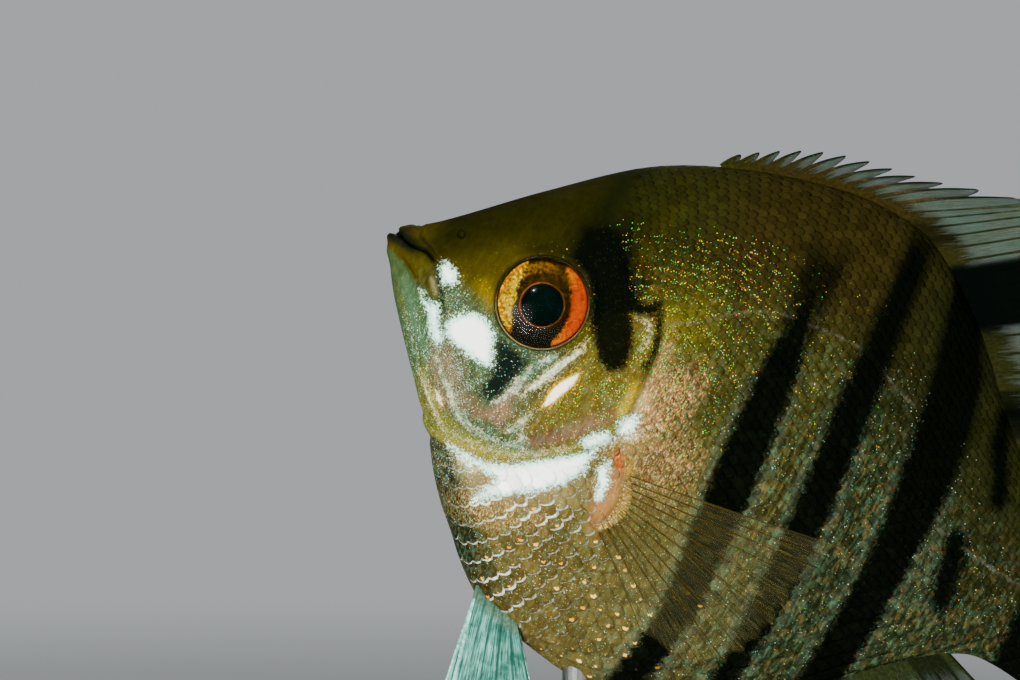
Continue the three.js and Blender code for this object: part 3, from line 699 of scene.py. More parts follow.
def crispMarks(x, z):
    # depths inside the marks with a crisp edge, negative outside them
    nowhere = np.full(np.shape(x), -9.0)
    dark = np.maximum(barDepth(x, z, 1.0), shapeField(x, z, eyeBar) - 0.9 * smoothStep(8.0, 12.5, z))
    # a thin dark line painted as the shadow in the gap under the gill cover's rear edge
    flap, _ = lineField(x, z, [(26.6, 7.3), (27.7, 5.0), (28.35, 2.6), (28.3, 1.2)])
    dark = np.maximum(dark, 0.34 - np.abs(flap))
    # the silver places, painted near white as highlights
    shine = nowhere
    for outline in mirrors:
        shine = np.maximum(shine, shapeField(x, z, outline))
    gleam, golden = nowhere, np.zeros(np.shape(x))
    for line, half, gold in gleams:
        away, share = lineField(x, z, line)
        depth = half * (1.7 * swell(share) - 0.7) - np.abs(away)
        golden = np.where(depth > gleam, gold, golden)
        gleam = np.maximum(gleam, depth)
    thread = nowhere
    for line, half in sideLine:
        away, _ = lineField(x, z, line)
        thread = np.maximum(thread, half - np.abs(away))
    patch = shapeField(x, z, darkCheek)
    return dict(dark=dark, shine=shine, gleam=gleam, golden=golden, thread=thread, patch=patch)


def dustAt(x, z, zone):
    # how thick the fine silver specks lie
    head, belly = zone.head, zone.belly
    rise, share = lineField(x, z, [(2.3, -2.6), (4.3, -5.0), (6.5, -7.7), (8.7, -10.0), (11.0, -12.7)])
    dust = 0.06 + 0.4 * head * blobField(x, z, freshPlaces)
    dust = dust + 0.26 * head * smoothStep(1.5, -2.5, z) * smoothStep(2.5, 6, x)
    dust += 0.5 * head * bell(rise, 0.35) * swell(share) + 0.02 * head * zone.cover
    dust += 0.4 * blobField(x, z, [(16.6, -16.6, 2.6, 1.5, 25, 1)])
    dust += 0.1 * zone.chest + 0.2 * blobField(x, z, [(27.5, 8, 3, 7, 10, 1)])
    dust -= 0.5 * head * blobField(x, z, [jawBone])
    dust -= 0.5 * blobField(x, z, [(30.9, -11.2, 1.4, 4.2, 8, 1.2), (15.6, -10.0, 1.3, 1.1, 0, 0.7)])
    away, share = lineField(x, z, gillBand)
    dust *= 1 - 0.9 * bell(away, 0.8) * swell(share)
    dust *= 1 - 0.8 * smoothStep(-0.8, 0.6, shapeField(x, z, darkCheek))
    dust *= 1 - 0.8 * smoothStep(4.0, 1.5, z - belly) * smoothStep(14, 17, x)
    return dust * (1 - smoothStep(zone.back - 12, zone.back - 5, z))


def glitterAt(x, z, zone):
    # how thick the larger coloured flakes lie
    glitter = 0.02 + 0.3 * blobField(x, z, [(31.5, 8.5, 7.5, 7.0, 25, 1)])
    glitter = glitter + 0.3 * zone.head * zone.cover * smoothStep(-12, -10, z)
    behind = 0.16 * blobField(x, z, [(31, -1, 7, 6, 0, 1), (36.2, -3, 2.2, 7, 0, 0.9)])
    glitter += behind + 0.1 * blobField(x, z, [(44.5, 7, 2.5, 5, 0, 1)])
    glitter += 0.2 * blobField(x, z, [(31.5, 14.5, 6.5, 3.6, 20, 1)])
    glitter -= 0.4 * smoothStep(zone.back - 9, zone.back - 4, z)
    return glitter * (1 - 0.7 * smoothStep(-0.4, 0.5, zone.bars))


def lustreAt(x, z, zone):
    # the metallic sheen, the cool places and the rosy ones
    head, chest, back = zone.head, zone.chest, zone.back
    sheen = 0.3 + 0.35 * chest + 0.3 * head * smoothStep(1, -3, z)
    sheen = sheen - 0.3 * smoothStep(back - 18, back - 10, z)
    sheen += 0.4 * smoothStep(36, 42, x) * smoothStep(10, -4, z)
    cool = head * blobField(x, z, freshPlaces) + smoothStep(-4, -9, z - 0.4 * x) - 1.2 * head * zone.cover
    rose = blobField(x, z, rosyPlaces)
    rose += 0.6 * blobField(x, z, [(21.8, -18.6, 4.4, 1.8, 14, 1)])
    rose *= smoothStep(0.2, 0.5, zone.edge) * smoothStep(0.2, -0.6, zone.bars)
    return dict(sheen=sheen, cool=cool, rose=rose)


def marksAt(x, z):
    # every mark's strength, for places on the side
    zone = zonesAt(x, z)
    shares = dict(glitter=glitterAt(x, z, zone), dust=dustAt(x, z, zone), **lustreAt(x, z, zone))
    shares = {name: np.clip(values, 0, 1) for name, values in shares.items()}
    return dict(tint=tintAt(x, z, zone), **crispMarks(x, z), **shares)


def setMarks(mesh, x, z):
    for name, values in marksAt(x, z).items():
        setValues(mesh, name, values)


markNames = (  # all but the tint
    "dark", "shine", "patch", "gleam", "golden", "thread", "glitter", "sheen", "dust", "cool", "rose",
)


# shader nodes in short words

def addNode(tree, kind, inputs=None, **settings):
    node = tree.nodes.new("ShaderNode" + kind)
    for name, value in settings.items():
        setattr(node, name, value)
    for socket, value in (inputs or {}).items():
        if isinstance(value, bpy.types.NodeSocket):
            tree.links.new(value, node.inputs[socket])
        else:
            node.inputs[socket].default_value = value
    return node


def nodeAfter(kind, inputs, **settings):
    # a node in the tree that its linked inputs come from
    linked = next(value for value in inputs.values() if isinstance(value, bpy.types.NodeSocket))
    return addNode(linked.id_data, kind, inputs, **settings)


def calc(operation, a, b=0.0, clamp=False):
    return nodeAfter("Math", {0: a, 1: b}, operation=operation, use_clamp=clamp).outputs[0]


def times(a, b, clamp=False):
    return calc("MULTIPLY", a, b, clamp)


def plus(a, b):
    return calc("ADD", a, b)


def minus(a, b, clamp=False):
    return calc("SUBTRACT", a, b, clamp)


def larger(a, b, clamp=False):
    return calc("MAXIMUM", a, b, clamp)


def swing(noise, amount):
    # a noise as a shift to both sides of nought
    return times(minus(noise, 0.5), amount)


def vectorCalc(operation, a, b=(0, 0, 0)):
    return nodeAfter("VectorMath", {0: a, 1: b}, operation=operation).outputs[0]


def measured(operation, a, b=(0, 0, 0)):
    return nodeAfter("VectorMath", {0: a, 1: b}, operation=operation).outputs["Value"]


def scaled(vector, share):
    return nodeAfter("VectorMath", {0: vector, "Scale": share}, operation="SCALE").outputs[0]


def combined(x, y, z):
    return nodeAfter("CombineXYZ", {0: x, 1: y, 2: z}).outputs[0]


def bumped(height, strength, distance):
    return nodeAfter("Bump", {"Strength": strength, "Distance": distance, "Height": height}).outputs[0]


def rangeOf(value, low, high, outLow=0.0, outHigh=1.0, kind="SMOOTHSTEP"):
    inputs = {"Value": value, "From Min": low, "From Max": high, "To Min": outLow, "To Max": outHigh}
    return nodeAfter("MapRange", inputs, interpolation_type=kind).outputs["Result"]


def mixColor(factor, a, b):
    return nodeAfter("Mix", {0: factor, 6: a, 7: b}, data_type="RGBA").outputs[2]


def noiseOf(vector, scale, detail=3.0, roughness=0.55, distortion=0.0):
    inputs = dict(Vector=vector, Scale=scale, Detail=detail, Roughness=roughness, Distortion=distortion)
    return nodeAfter("TexNoise", inputs).outputs["Fac"]


def rampOf(factor, *stops):
    node = nodeAfter("ValToRGB", {"Fac": factor})
    while len(node.color_ramp.elements) < len(stops):
        node.color_ramp.elements.new(0.5)
    for element, (position, tone) in zip(node.color_ramp.elements, stops):
        element.position = position
        element.color = (*linearTone(*tone), 1)
    return node.outputs["Color"]


def colorOf(*tone):
    return (*linearTone(*tone), 1)


def valueFrom(tree, name):
    return addNode(tree, "Attribute", attribute_name=name, attribute_type="GEOMETRY").outputs["Fac"]


def vectorFrom(tree, name):
    return addNode(tree, "Attribute", attribute_name=name, attribute_type="GEOMETRY").outputs["Vector"]


def newGroup(name, inputs, outputs):
    tree = bpy.data.node_groups.new(name, "ShaderNodeTree")
    for socket, kind in inputs.items():
        tree.interface.new_socket(socket, in_out="INPUT", socket_type="NodeSocket" + kind)
    for socket, kind in outputs.items():
        tree.interface.new_socket(socket, in_out="OUTPUT", socket_type="NodeSocket" + kind)
    return tree, tree.nodes.new("NodeGroupInput").outputs, tree.nodes.new("NodeGroupOutput").inputs


def useGroup(tree, group, inputs):
    return addNode(tree, "Group", inputs, node_tree=group).outputs


def newMaterial(name, constants):
    material = bpy.data.materials.new(name)
    material.use_nodes = True
    shader = material.node_tree.nodes["Principled BSDF"].inputs
    for socket, value in constants.items():
        shader[socket].default_value = value
    return material, material.node_tree, shader


def link(output, socket):
    output.id_data.links.new(output, socket)


# the fish's finish

def makeGlitterGroup():
    # scattered bright flakes, each turned its own way
    inputs = {
        "Place": "Vector", "Density": "Float", "Flakes per mm": "Float", "Flake": "Float",
        "Cool": "Float",
    }
    outputs = {"Mask": "Float", "Color": "Color", "Tilt": "Vector"}
    tree, given, out = newGroup("glitter", inputs, outputs)
    cells = addNode(tree, "TexVoronoi", {"Vector": given["Place"], "Scale": given["Flakes per mm"]})
    parts = addNode(tree, "SeparateColor", {0: cells.outputs["Color"]}).outputs
    dot = rangeOf(cells.outputs["Distance"], given["Flake"], times(given["Flake"], 0.55))
    drawn = rangeOf(parts[1], given["Density"], times(given["Density"], 0.9))
    mask = times(dot, drawn, clamp=True)
    hue = rampOf(
        parts[0], (0.0, (210, 84, 0)), (0.12, (214, 140, 10)), (0.3, (190, 178, 0)),
        (0.46, (100, 190, 0)), (0.62, (30, 186, 40)), (0.76, (30, 170, 116)), (0.9, (190, 204, 150)),
        (1.0, (206, 110, 20)),
    )
    cool = rampOf(
        parts[0], (0.0, (60, 176, 160)), (0.3, (150, 226, 210)),
        (0.55, (240, 246, 230)), (0.75, (150, 196, 120)), (1.0, (222, 190, 120)),
    )
    hue = mixColor(given["Cool"], hue, cool)
    tilt = vectorCalc("SUBTRACT", cells.outputs["Color"], (0.5, 0.5, 0.5))
    link(mask, out["Mask"])
    link(hue, out["Color"])
    link(tilt, out["Tilt"])
    return tree


def makeFishGroup(glitter):
    # the fish's colours from the tones and depths that its meshes carry
    inputs = dict(Place="Vector", Tint="Color", **{name.capitalize(): "Float" for name in markNames})
    outputs = dict(
        Color="Color", Metallic="Float", Roughness="Float", Tilt="Vector", Height="Float", Dark="Float",
    )
    tree, given, out = newGroup("fishFinish", inputs, outputs)
    place = given["Place"]
    grain = noiseOf(place, 7.5, 3, 0.7)
    speck = noiseOf(place, 3.2, 4, 0.75)
    cloud = noiseOf(place, 0.42, 3, 0.6)
    drift = noiseOf(place, 1.1, 2, 0.6)
    streak = noiseOf(vectorCalc("MULTIPLY", place, (1, 1, 0.3)), 2.4, 4, 0.7)
    shade = rangeOf(cloud, 0.3, 0.7, 0.86, 1.14, "LINEAR")
    shade = times(shade, rangeOf(grain, 0.3, 0.7, 0.8, 1.2, "LINEAR"))
    shade = times(shade, rangeOf(streak, 0.32, 0.68, 0.78, 1.22, "LINEAR"))
    base = scaled(given["Tint"], shade)
    # golden and green drift of the sheen
    warm = mixColor(rangeOf(drift, 0.4, 0.6), colorOf(74, 110, 82), colorOf(112, 94, 52))
    glaze = times(given["Sheen"], rangeOf(streak, 0.42, 0.7, 0.0, 0.55))
    base = mixColor(glaze, base, warm)
    # short bright wisps of rose, gold and green on a darker ground
    wisps = noiseOf(vectorCalc("MULTIPLY", place, (1, 1, 0.45)), 5.6, 3, 0.75)
    hues = noiseOf(place, 2.2, 3, 0.7)
    rosy = rampOf(
        hues, (0.34, (88, 122, 92)), (0.44, (152, 140, 60)),
        (0.52, (170, 122, 62)), (0.62, (164, 100, 66)), (0.7, (150, 150, 118)),
    )
    rosy = mixColor(rangeOf(wisps, 0.6, 0.72), rosy, colorOf(240, 228, 200))
    ground = scaled(base, rangeOf(given["Rose"], 0, 1, 1.0, 0.82))
    rosyMask = times(given["Rose"], rangeOf(wisps, 0.46, 0.6), clamp=True)
    base = mixColor(rosyMask, ground, rosy)
    specks = useGroup(tree, glitter, {
        "Place": place, "Density": given["Dust"], "Flakes per mm": 8.5, "Flake": 0.5, "Cool": given["Cool"],
    })
    paleTint = scaled(given["Tint"], 3.0)
    silver = mixColor(rangeOf(given["Cool"], 0, 1, 0.22, 0.66), paleTint, specks["Color"])
    clumps = noiseOf(place, 1.5, 3, 0.7)
    dust = times(specks["Mask"], rangeOf(clumps, 0.38, 0.62, 0.08, 0.9), clamp=True)

    def edgeOf(depth, speckle, soft):
        shifted = plus(depth, swing(speck, speckle))
        shifted = plus(shifted, swing(grain, speckle * 0.7))
        return rangeOf(shifted, -soft, soft)

    patch = times(edgeOf(given["Patch"], 2.6, 0.6), 0.94)
    base = mixColor(patch, base, colorOf(3, 9, 9))
    base = mixColor(dust, base, silver)
    # the bright bands, partly painted highlights on the gill cover's ridges
    gleam = edgeOf(given["Gleam"], 2.1, 0.26)
    cool = mixColor(rangeOf(drift, 0.42, 0.6), colorOf(104, 150, 118), colorOf(206, 210, 176))
    inward = rangeOf(given["Gleam"], 0.02, 0.3)
    gold = mixColor(inward, colorOf(168, 128, 10), colorOf(252, 246, 208))
    tone = mixColor(given["Golden"], cool, gold)
    grained = times(gleam, rangeOf(speck, 0.38, 0.6, 0.45, 1.0))
    grained = larger(grained, times(gleam, rangeOf(given["Golden"], 0.7, 1.0)))
    shown = times(grained, rangeOf(given["Golden"], 0.2, 1.0, 0.62, 0.97))
    color = mixColor(shown, base, tone)
    thread = edgeOf(given["Thread"], 0.8, 0.2)
    color = mixColor(times(thread, 0.3), color, colorOf(96, 92, 78))
    # painted highlights: the silver places turn near white
    shine = edgeOf(given["Shine"], 2.6, 0.3)
    inward = rangeOf(given["Shine"], 0.1, 0.7)
    fringe = mixColor(inward, colorOf(190, 236, 214), colorOf(252, 253, 244))
    color = mixColor(shine, color, fringe)
    flakes = useGroup(tree, glitter, {
        "Place": place, "Density": given["Glitter"], "Flakes per mm": 5.0, "Flake": 0.34, "Cool": 0.0,
    })
    lifted = minus(flakes["Mask"], shine, clamp=True)
    color = mixColor(lifted, color, flakes["Color"])
    dark = edgeOf(given["Dark"], 1.9, 0.45)
    color = mixColor(times(dark, 0.98), color, colorOf(2, 4, 1))
    bright = larger(shine, times(gleam, 0.5))
    bright = larger(bright, times(lifted, 0.7))
    metal = larger(times(given["Sheen"], 0.15), times(bright, 0.1))
    metal = times(metal, minus(1.0, dark))
    rough = rangeOf(bright, 0, 1, 0.48, 0.3, "LINEAR")
    rough = plus(rough, swing(grain, 0.25))
    turn = times(larger(lifted, times(shine, 0.3)), 0.5)
    tilt = scaled(flakes["Tilt"], turn)
    link(color, out["Color"])
    link(metal, out["Metallic"])
    link(rough, out["Roughness"])
    link(tilt, out["Tilt"])
    link(plus(grain, times(speck, 0.8)), out["Height"])
    link(dark, out["Dark"])
    return tree


def fishInputs(tree):
    given = {"Place": vectorFrom(tree, "place"), "Tint": vectorFrom(tree, "tint")}
    given.update((name.capitalize(), valueFrom(tree, name)) for name in markNames)
    return given


def tiltedNormal(tilt, height, strength, distance):
    turned = vectorCalc("ADD", bumped(height, strength, distance), tilt)
    return vectorCalc("NORMALIZE", turned)


def bellOf(value, middle, half):
    away = calc("ABSOLUTE", minus(value, middle))
    return rangeOf(away, half, half * 0.2)


def makeSkinMaterial(finish):
    material, tree, shader = newMaterial("wetSkin", {"Specular IOR Level": 0.015})
    out = useGroup(tree, finish, fishInputs(tree))
    color = out["Color"]
    flat = vectorCalc("MULTIPLY", vectorFrom(tree, "place"), (1, 0, 1))
    # dark rings painted round the nostril and the pores, as the shade in their pits
    for px, pz, radius, _, rim in pits.values():
        near = measured("DISTANCE", flat, (px, 0, pz))
        ring = bellOf(near, radius * 1.05, radius * 0.32)
        color = mixColor(times(ring, 0.8 if rim > 0.05 else 0.45), color, colorOf(5, 6, 1))
    link(color, shader["Base Color"])
    link(out["Metallic"], shader["Metallic"])
    link(out["Roughness"], shader["Roughness"])
    link(tiltedNormal(out["Tilt"], out["Height"], 0.35, 0.00012), shader["Normal"])
    return material


def makeScaleMaterial(finish):
    material, tree, shader = newMaterial("scales", {"Specular IOR Level": 0.012})
    out = useGroup(tree, finish, fishInputs(tree))
    place = vectorFrom(tree, "place")
    rim = valueFrom(tree, "rim")
    tone = valueFrom(tree, "scaleTone")
    wobble = swing(noiseOf(place, 4.0, 3, 0.7), 0.5)
    band = rangeOf(plus(rim, wobble), 0.62, 0.9)
    strength = times(band, valueFrom(tree, "rimStrength"))
    breaks = noiseOf(place, 1.5, 3, 0.7)
    strength = times(strength, rangeOf(breaks, 0.36, 0.56, 0.3, 1.0))
    keep = minus(1.0, times(out["Dark"], 0.96))
    shade = rangeOf(tone, 0, 1, 0.78, 1.22, "LINEAR")
    varied = vectorCalc("MULTIPLY", out["Color"], combined(shade, shade, shade))
    color = mixColor(times(strength, keep), varied, vectorFrom(tree, "rimTint"))
    dot = rangeOf(plus(valueFrom(tree, "dot"), times(wobble, 1.6)), 0.56, 0.74)
    golden = mixColor(tone, colorOf(196, 120, 0), colorOf(226, 190, 96))
    color = mixColor(times(dot, keep), color, golden)
    link(color, shader["Base Color"])
    link(out["Metallic"], shader["Metallic"])
    link(out["Roughness"], shader["Roughness"])
    link(tiltedNormal(out["Tilt"], out["Height"], 0.3, 0.0001), shader["Normal"])
    return material


# scales

scalePlate = dict(  # one plate, with lengths as shares of its own length and half width
    outline=[
        (0.02, -0.72), (0.42, -1.0), (0.74, -0.8), (0.93, -0.42), (1.0, 0.0), (0.93, 0.42), (0.74, 0.8),
        (0.42, 1.0), (0.02, 0.72),
    ],
    middle=(0.5, 0.0),
    inner=0.6,
    sink=-0.02,
)


def plateShape(side):
    # one plate: its face in two rings about a middle, and a wall down into the skin
    shape = bmesh.new()
    rim = shape.verts.layers.float.new("rimShare")
    outline = [shape.verts.new((x, y, 0)) for x, y in scalePlate["outline"]]
    for vert in outline:
        vert[rim] = 0.25 + 0.75 * float(smoothStep(0.2, 0.7, vert.co.x))
    face = shape.faces.new(outline)
    wall = bmesh.ops.extrude_edge_only(shape, edges=shape.edges[:])["geom"]
    low = [vert for vert in wall if isinstance(vert, bmesh.types.BMVert)]
    bmesh.ops.translate(shape, vec=(0, 0, -1), verts=low)
    for vert in low:
        vert[rim] = 1.0
    inner = bmesh.ops.extrude_discrete_faces(shape, faces=[face])["faces"]
    middle = Vector((*scalePlate["middle"], 0))
    share = scalePlate["inner"]
    around = Matrix.Translation(-middle)
    bmesh.ops.scale(shape, vec=(share, share, 1), space=around, verts=inner[0].verts[:])
    for vert in inner[0].verts:
        vert[rim] = 0.25
    center = bmesh.ops.poke(shape, faces=inner)["verts"][0]
    center.co = middle
    center[rim] = 0.0
    bmesh.ops.recalc_face_normals(shape, faces=shape.faces[:])
    up = center.link_faces[0]
    up.normal_update()
    if (up.normal.z > 0) != (side > 0):
        bmesh.ops.reverse_faces(shape, faces=shape.faces[:])
    for face in shape.faces:
        face.smooth = all(vert.co.z > -0.5 for vert in face.verts)
    places = np.array([vert.co for vert in shape.verts])
    rims = np.array([vert[rim] for vert in shape.verts])
    shape.verts.layers.float.remove(shape.verts.layers.float["rimShare"])
    return shape, places, rims


bakeMap = dict(length=84, height=92, patch=0.003)  # the side laid out flat, and a scale's share of it


def angleAtArc(x, arc):
    # the section's angle where the way along it from the flat of the side is arc
    angles = np.radians(np.linspace(-90, 90, 121))
    section = bodyPoint(x[:, None], angles[None, :])
    steps = np.linalg.norm(np.diff(section[..., 1:], axis=1), axis=-1)
    way = np.concatenate([np.zeros((len(x), 1)), np.cumsum(steps, axis=1)], axis=1)
    way -= way[:, [60]]
    found = np.array([np.interp(a, w, angles) for a, w in zip(arc, way)])
    return found, way[:, 0], way[:, -1]


def makeScales(name, side, roots, material, look, seed):
    # roots: x, arc from the flat of the side, plate length, plate half width, lift
    random = np.random.default_rng(seed)
    x, arc, long, half, lift = (np.asarray(values, float) for values in roots)
    count = len(x)
    x = x + random.normal(0, 0.03, count) * long
    arc = arc + random.normal(0, 0.03, count) * half
    long = long * random.uniform(0.93, 1.07, count)
    half = half * random.uniform(0.95, 1.06, count)
    angle, _, _ = angleAtArc(x, arc)
    ahead, _, _ = angleAtArc(x + 0.4, arc * look["follow"](x + 0.4) / look["follow"](x))
    if side < 0:
        angle, ahead = math.pi - angle, math.pi - ahead
    root = bodyPoint(x, angle)
    alongRow = bodyPoint(x + 0.4, ahead) - root
    alongRow /= np.linalg.norm(alongRow, axis=1, keepdims=True)
    normal = surfaceNormal(bodyPoint, x, angle)
    across = np.cross(normal, alongRow)
    lean = look["lean"] * smoothStep(-11, -17, root[:, 2]) * smoothStep(38, 26, root[:, 0])
    twist = random.normal(0, 0.05, count) - side * lean
    c, s = np.cos(twist)[:, None], np.sin(twist)[:, None]
    alongRow, across = alongRow * c + across * s, across * c - alongRow * s
    step = 0.02
    slopeX = (bodyPoint(x + step, angle) - bodyPoint(x - step, angle)) / (2 * step)
    slopeA = (bodyPoint(x, angle + step / 8) - bodyPoint(x, angle - step / 8)) / (step / 4)
    xx, aa = (slopeX * slopeX).sum(1), (slopeA * slopeA).sum(1)
    xa = (slopeX * slopeA).sum(1)
    spread = xx * aa - xa * xa

    shape, places, rim = plateShape(side)
    below = places[:, 2] < -0.5
    outward = places[None, :, 0] * long[:, None] - 0.3 * long[:, None]
    sideways = places[None, :, 1] * half[:, None]
    shift = alongRow[:, None] * outward[..., None] + across[:, None] * sideways[..., None]
    onX = (shift * slopeX[:, None]).sum(-1)
    onA = (shift * slopeA[:, None]).sum(-1)
    moveX = (onX * aa[:, None] - onA * xa[:, None]) / spread[:, None]
    moveA = (onA * xx[:, None] - onX * xa[:, None]) / spread[:, None]
    atX = np.clip(x[:, None] + moveX, 0.5, 81.9)
    atA = angle[:, None] + moveA
    ground = skinPoint(atX, atA)
    up = surfaceNormal(bodyPoint, atX, atA)
    rise = scalePlate["sink"] + (lift[:, None] - scalePlate["sink"]) * places[None, :, 0] ** 1.2
    rise = rise + 0.012 * (1 - places[None, :, 1] ** 2) * np.where(rim[None] < 0.3, 1, 0)
    rise = np.where(below[None], -0.07, rise)
    placed = ground + up * rise[..., None]
    size = len(places)
    mesh = copiesOf(name, shape, count)
    setPoints(mesh, toPart(placed.reshape(-1, 3)))
    setValues(mesh, "place", placed.reshape(-1, 3))
    # pigment lies scale by scale, so marks are read nearer to the root
    mixed = root[:, None] + (placed - root[:, None]) * 0.8
    setMarks(mesh, mixed[..., 0].ravel(), mixed[..., 2].ravel())
    setValues(mesh, "scaleTone", np.repeat(random.uniform(0, 1, count), size))
    rimTint, rimStrength, narrow, wide, dots = rimLook(root[:, 0], root[:, 2])
    fromTip = np.abs(places[:, 1])[None]
    leaning = smoothStep(-0.2, 0.9, -places[:, 1] * side)[None]
    rims = wide[:, None] * rim[None] * (1 - narrow[:, None] * smoothStep(0.12, 0.6, fromTip))
    rims = rims * (1 - 0.5 * leaning)
    setValues(mesh, "rim", rims.ravel())
    spotted = random.uniform(0, 1, count) < 0.6 * dots
    chosen = np.where(spotted, random.uniform(0.62, 1.1, count), 0)[:, None]
    inner = (rim > 0.2) & (rim < 0.3) & ~below & (places[:, 0] > 0.7)
    spot = np.where(inner, np.clip(0.7 + 1.2 * places[:, 1] * side, 0, 1), 0)
    setValues(mesh, "dot", (chosen * spot[None]).ravel())
    setValues(mesh, "rimTint", np.repeat(rimTint, size, axis=0))
    setValues(mesh, "rimStrength", np.repeat(rimStrength, size))
    bake = mesh.uv_layers.new(name="OFBake")
    u = (0.02 + 0.96 * x / bakeMap["length"])[:, None] + (places[None, :, 0] - 0.5) * bakeMap["patch"]
    v = (0.5 + arc / bakeMap["height"])[:, None] + places[None, :, 1] * bakeMap["patch"] / 2
    pairs = np.stack([u, v], -1).reshape(-1, 2)
    corner = np.zeros(len(mesh.loops), np.int32)
    mesh.loops.foreach_get("vertex_index", corner)
    bake.data.foreach_set("uv", pairs[corner].astype(np.float32).ravel())
    print(name, count, "scales")
    return newPiece(name, mesh, material, "skin")


rimTones = dict(
    chest=(232, 232, 214), flank=(70, 72, 38), back=(2, 2, 0), rear=(52, 74, 56), low=(112, 104, 72),
)


def rimLook(x, z):
    # the tone along a scale's free edge, its strength, how far it keeps to the tip,
    # its width and its gold dots
    tone = {name: linearTone(*value) for name, value in rimTones.items()}
    color = np.broadcast_to(tone["flank"], (*x.shape, 3)).copy()
    strength = np.full(x.shape, 0.3)
    narrow = np.full(x.shape, 0.4)
    back = backLine(x)
    chest = smoothStep(-10, -15, z) * (1 - smoothStep(25, 36, x))
    for name, mask, amount, tipOnly in (
        ("low", smoothStep(-6, -16, z), 0.5, 0.2),
        ("rear", smoothStep(40, 54, x) * smoothStep(4, -4, z), 0.5, 0.3),
        ("chest", chest, 0.9, 0.1),
        ("back", smoothStep(back - 17, back - 11, z) * smoothStep(62, 46, x), 0.9, 1.0),
    ):
        color += (tone[name] - color) * mask[:, None]
        strength += (amount - strength) * mask
        narrow += (tipOnly - narrow) * mask
    strength *= 1 - 0.5 * chest * smoothStep(18, 28, x)
    strength *= 1 - 0.8 * chest * smoothStep(4.8, 2.6, z - bellyLine(x)) * smoothStep(22, 17, x)
    # two patches of the chest get stronger, wider pale rims, painted as glints of light on the scale edges
    under = blobField(x, z, [(23.7, -16.6, 5.0, 1.3, 12, 1), (25.2, -24.6, 3.4, 1.6, -38, 0.8)])
    strength = np.clip(strength + 0.6 * under, 0, 1)
    wide = 1 + 0.45 * under
    dots = smoothStep(-14, -19, z) * smoothStep(20, 26, x) * smoothStep(46, 36, x)
    return color, strength, narrow, wide, dots


bodyScales = dict(
    # along a row, over the rows
    pitch=smoothThrough((-34, 2.55), (-20, 2.5), (0, 1.9), (14, 1.6), (30, 1.45)),
    row=smoothThrough((-34, 0.84), (-18, 0.84), (0, 0.6), (14, 0.5), (30, 0.44)),  # between rows
    follow=smoothThrough(  # how the rows draw together towards the head and the tail
        (3.5, 0.24), (11, 0.48), (19, 0.74), (27, 0.905), (36, 0.98), (42, 1.0), (60, 0.84), (82, 0.6),
    ),
    # columns stay square to rows
    bow=smoothThrough((6, 0.011), (24, 0.009), (40, 0.002), (52, -0.003), (82, -0.006)),
    start=30.0,
    lift=0.03,
    lean=0.3,  # how far the chest's scales turn their free edges from the rows
)


def bodyRoots():
    rows = []
    for way in (1, -1):
        arc, number = 0.0, 0
        while abs(arc) < 36:
            if number or way > 0:
                rows.append((arc, number * way))
            arc += way * float(bodyScales["row"](arc))
            number += 1
    roots = []
    for arc, number in rows:
        step = float(bodyScales["pitch"](arc))
        half = float(bodyScales["row"](arc))
        shift = 0.5 * (number % 2)
        for i in range(-20, 44):
            x = bodyScales["start"] + (i + shift) * step
            x -= float(bodyScales["bow"](x)) * arc * arc
            if 6 < x < 81.6:
                follow = float(bodyScales["follow"](x))
                longer, wider = 0.5 + 0.7 * follow, 0.25 + 0.75 * follow
                roots.append((x, arc * follow, step * longer, half * 1.2 * wider))
    x, arc, long, half = np.array(roots).T
    angle, low, high = angleAtArc(x, arc)
    fits = (arc > low + 0.2) & (arc < high - 0.05)
    point = bodyPoint(x, angle)
    z = point[:, 2]
    edge, _ = lineField(x, z, coverEdge)
    napeStart = 17.5 + 0.3 * np.maximum(18 - z, 0)
    ahead = np.where(z > 8.5, x < napeStart, (edge < 0.5) | (x < 11))
    foot = blobField(x, z, [(31.4, -11.7, 1.5, 3.6, 8, 1)]) > 0.5
    keep = fits & ~ahead & ~foot
    lift = bodyScales["lift"] * (0.6 + 0.4 * smoothStep(18, 30, x))
    lift = lift * (1 - 0.35 * smoothStep(backLine(x) - 14, backLine(x) - 4, z))
    lift = lift * (1 + 0.5 * smoothStep(-10, -16, z))
    return [values[keep] for values in (x, arc, long, half, lift)]


# eyes

eyeParts = dict(
    center=(16.34, -5.35, 1.96), forward=8.0, upward=4.0, segments=96, lowered=0.28,
    ball=[
        (0, -2.7), (1.6, -2.6), (3.2, -1.9), (4.3, -0.8), (4.68, 0.1), (4.74, 0.42), (4.7, 0.6),
        (4.58, 0.74), (4.3, 0.84), (3.6, 0.98), (2.9, 1.08), (2.42, 1.13), (2.24, 1.13), (2.16, 1.06),
        (2.12, 0.9), (1.4, 0.8), (0, 0.78),
    ],
    lens=[
        (0, 0.5), (1.5, 0.55), (2.1, 0.72), (2.12, 0.86), (1.8, 1.06), (1.3, 1.24), (0.7, 1.34),
        (0, 1.38),
    ],
    cornea=[
        (0, 1.5), (1.4, 1.43), (2.7, 1.24), (3.7, 0.98), (4.4, 0.72), (4.68, 0.56), (4.76, 0.6),
        (4.5, 0.82), (3.8, 1.12), (2.8, 1.4), (1.4, 1.6), (0, 1.68),
    ],
)


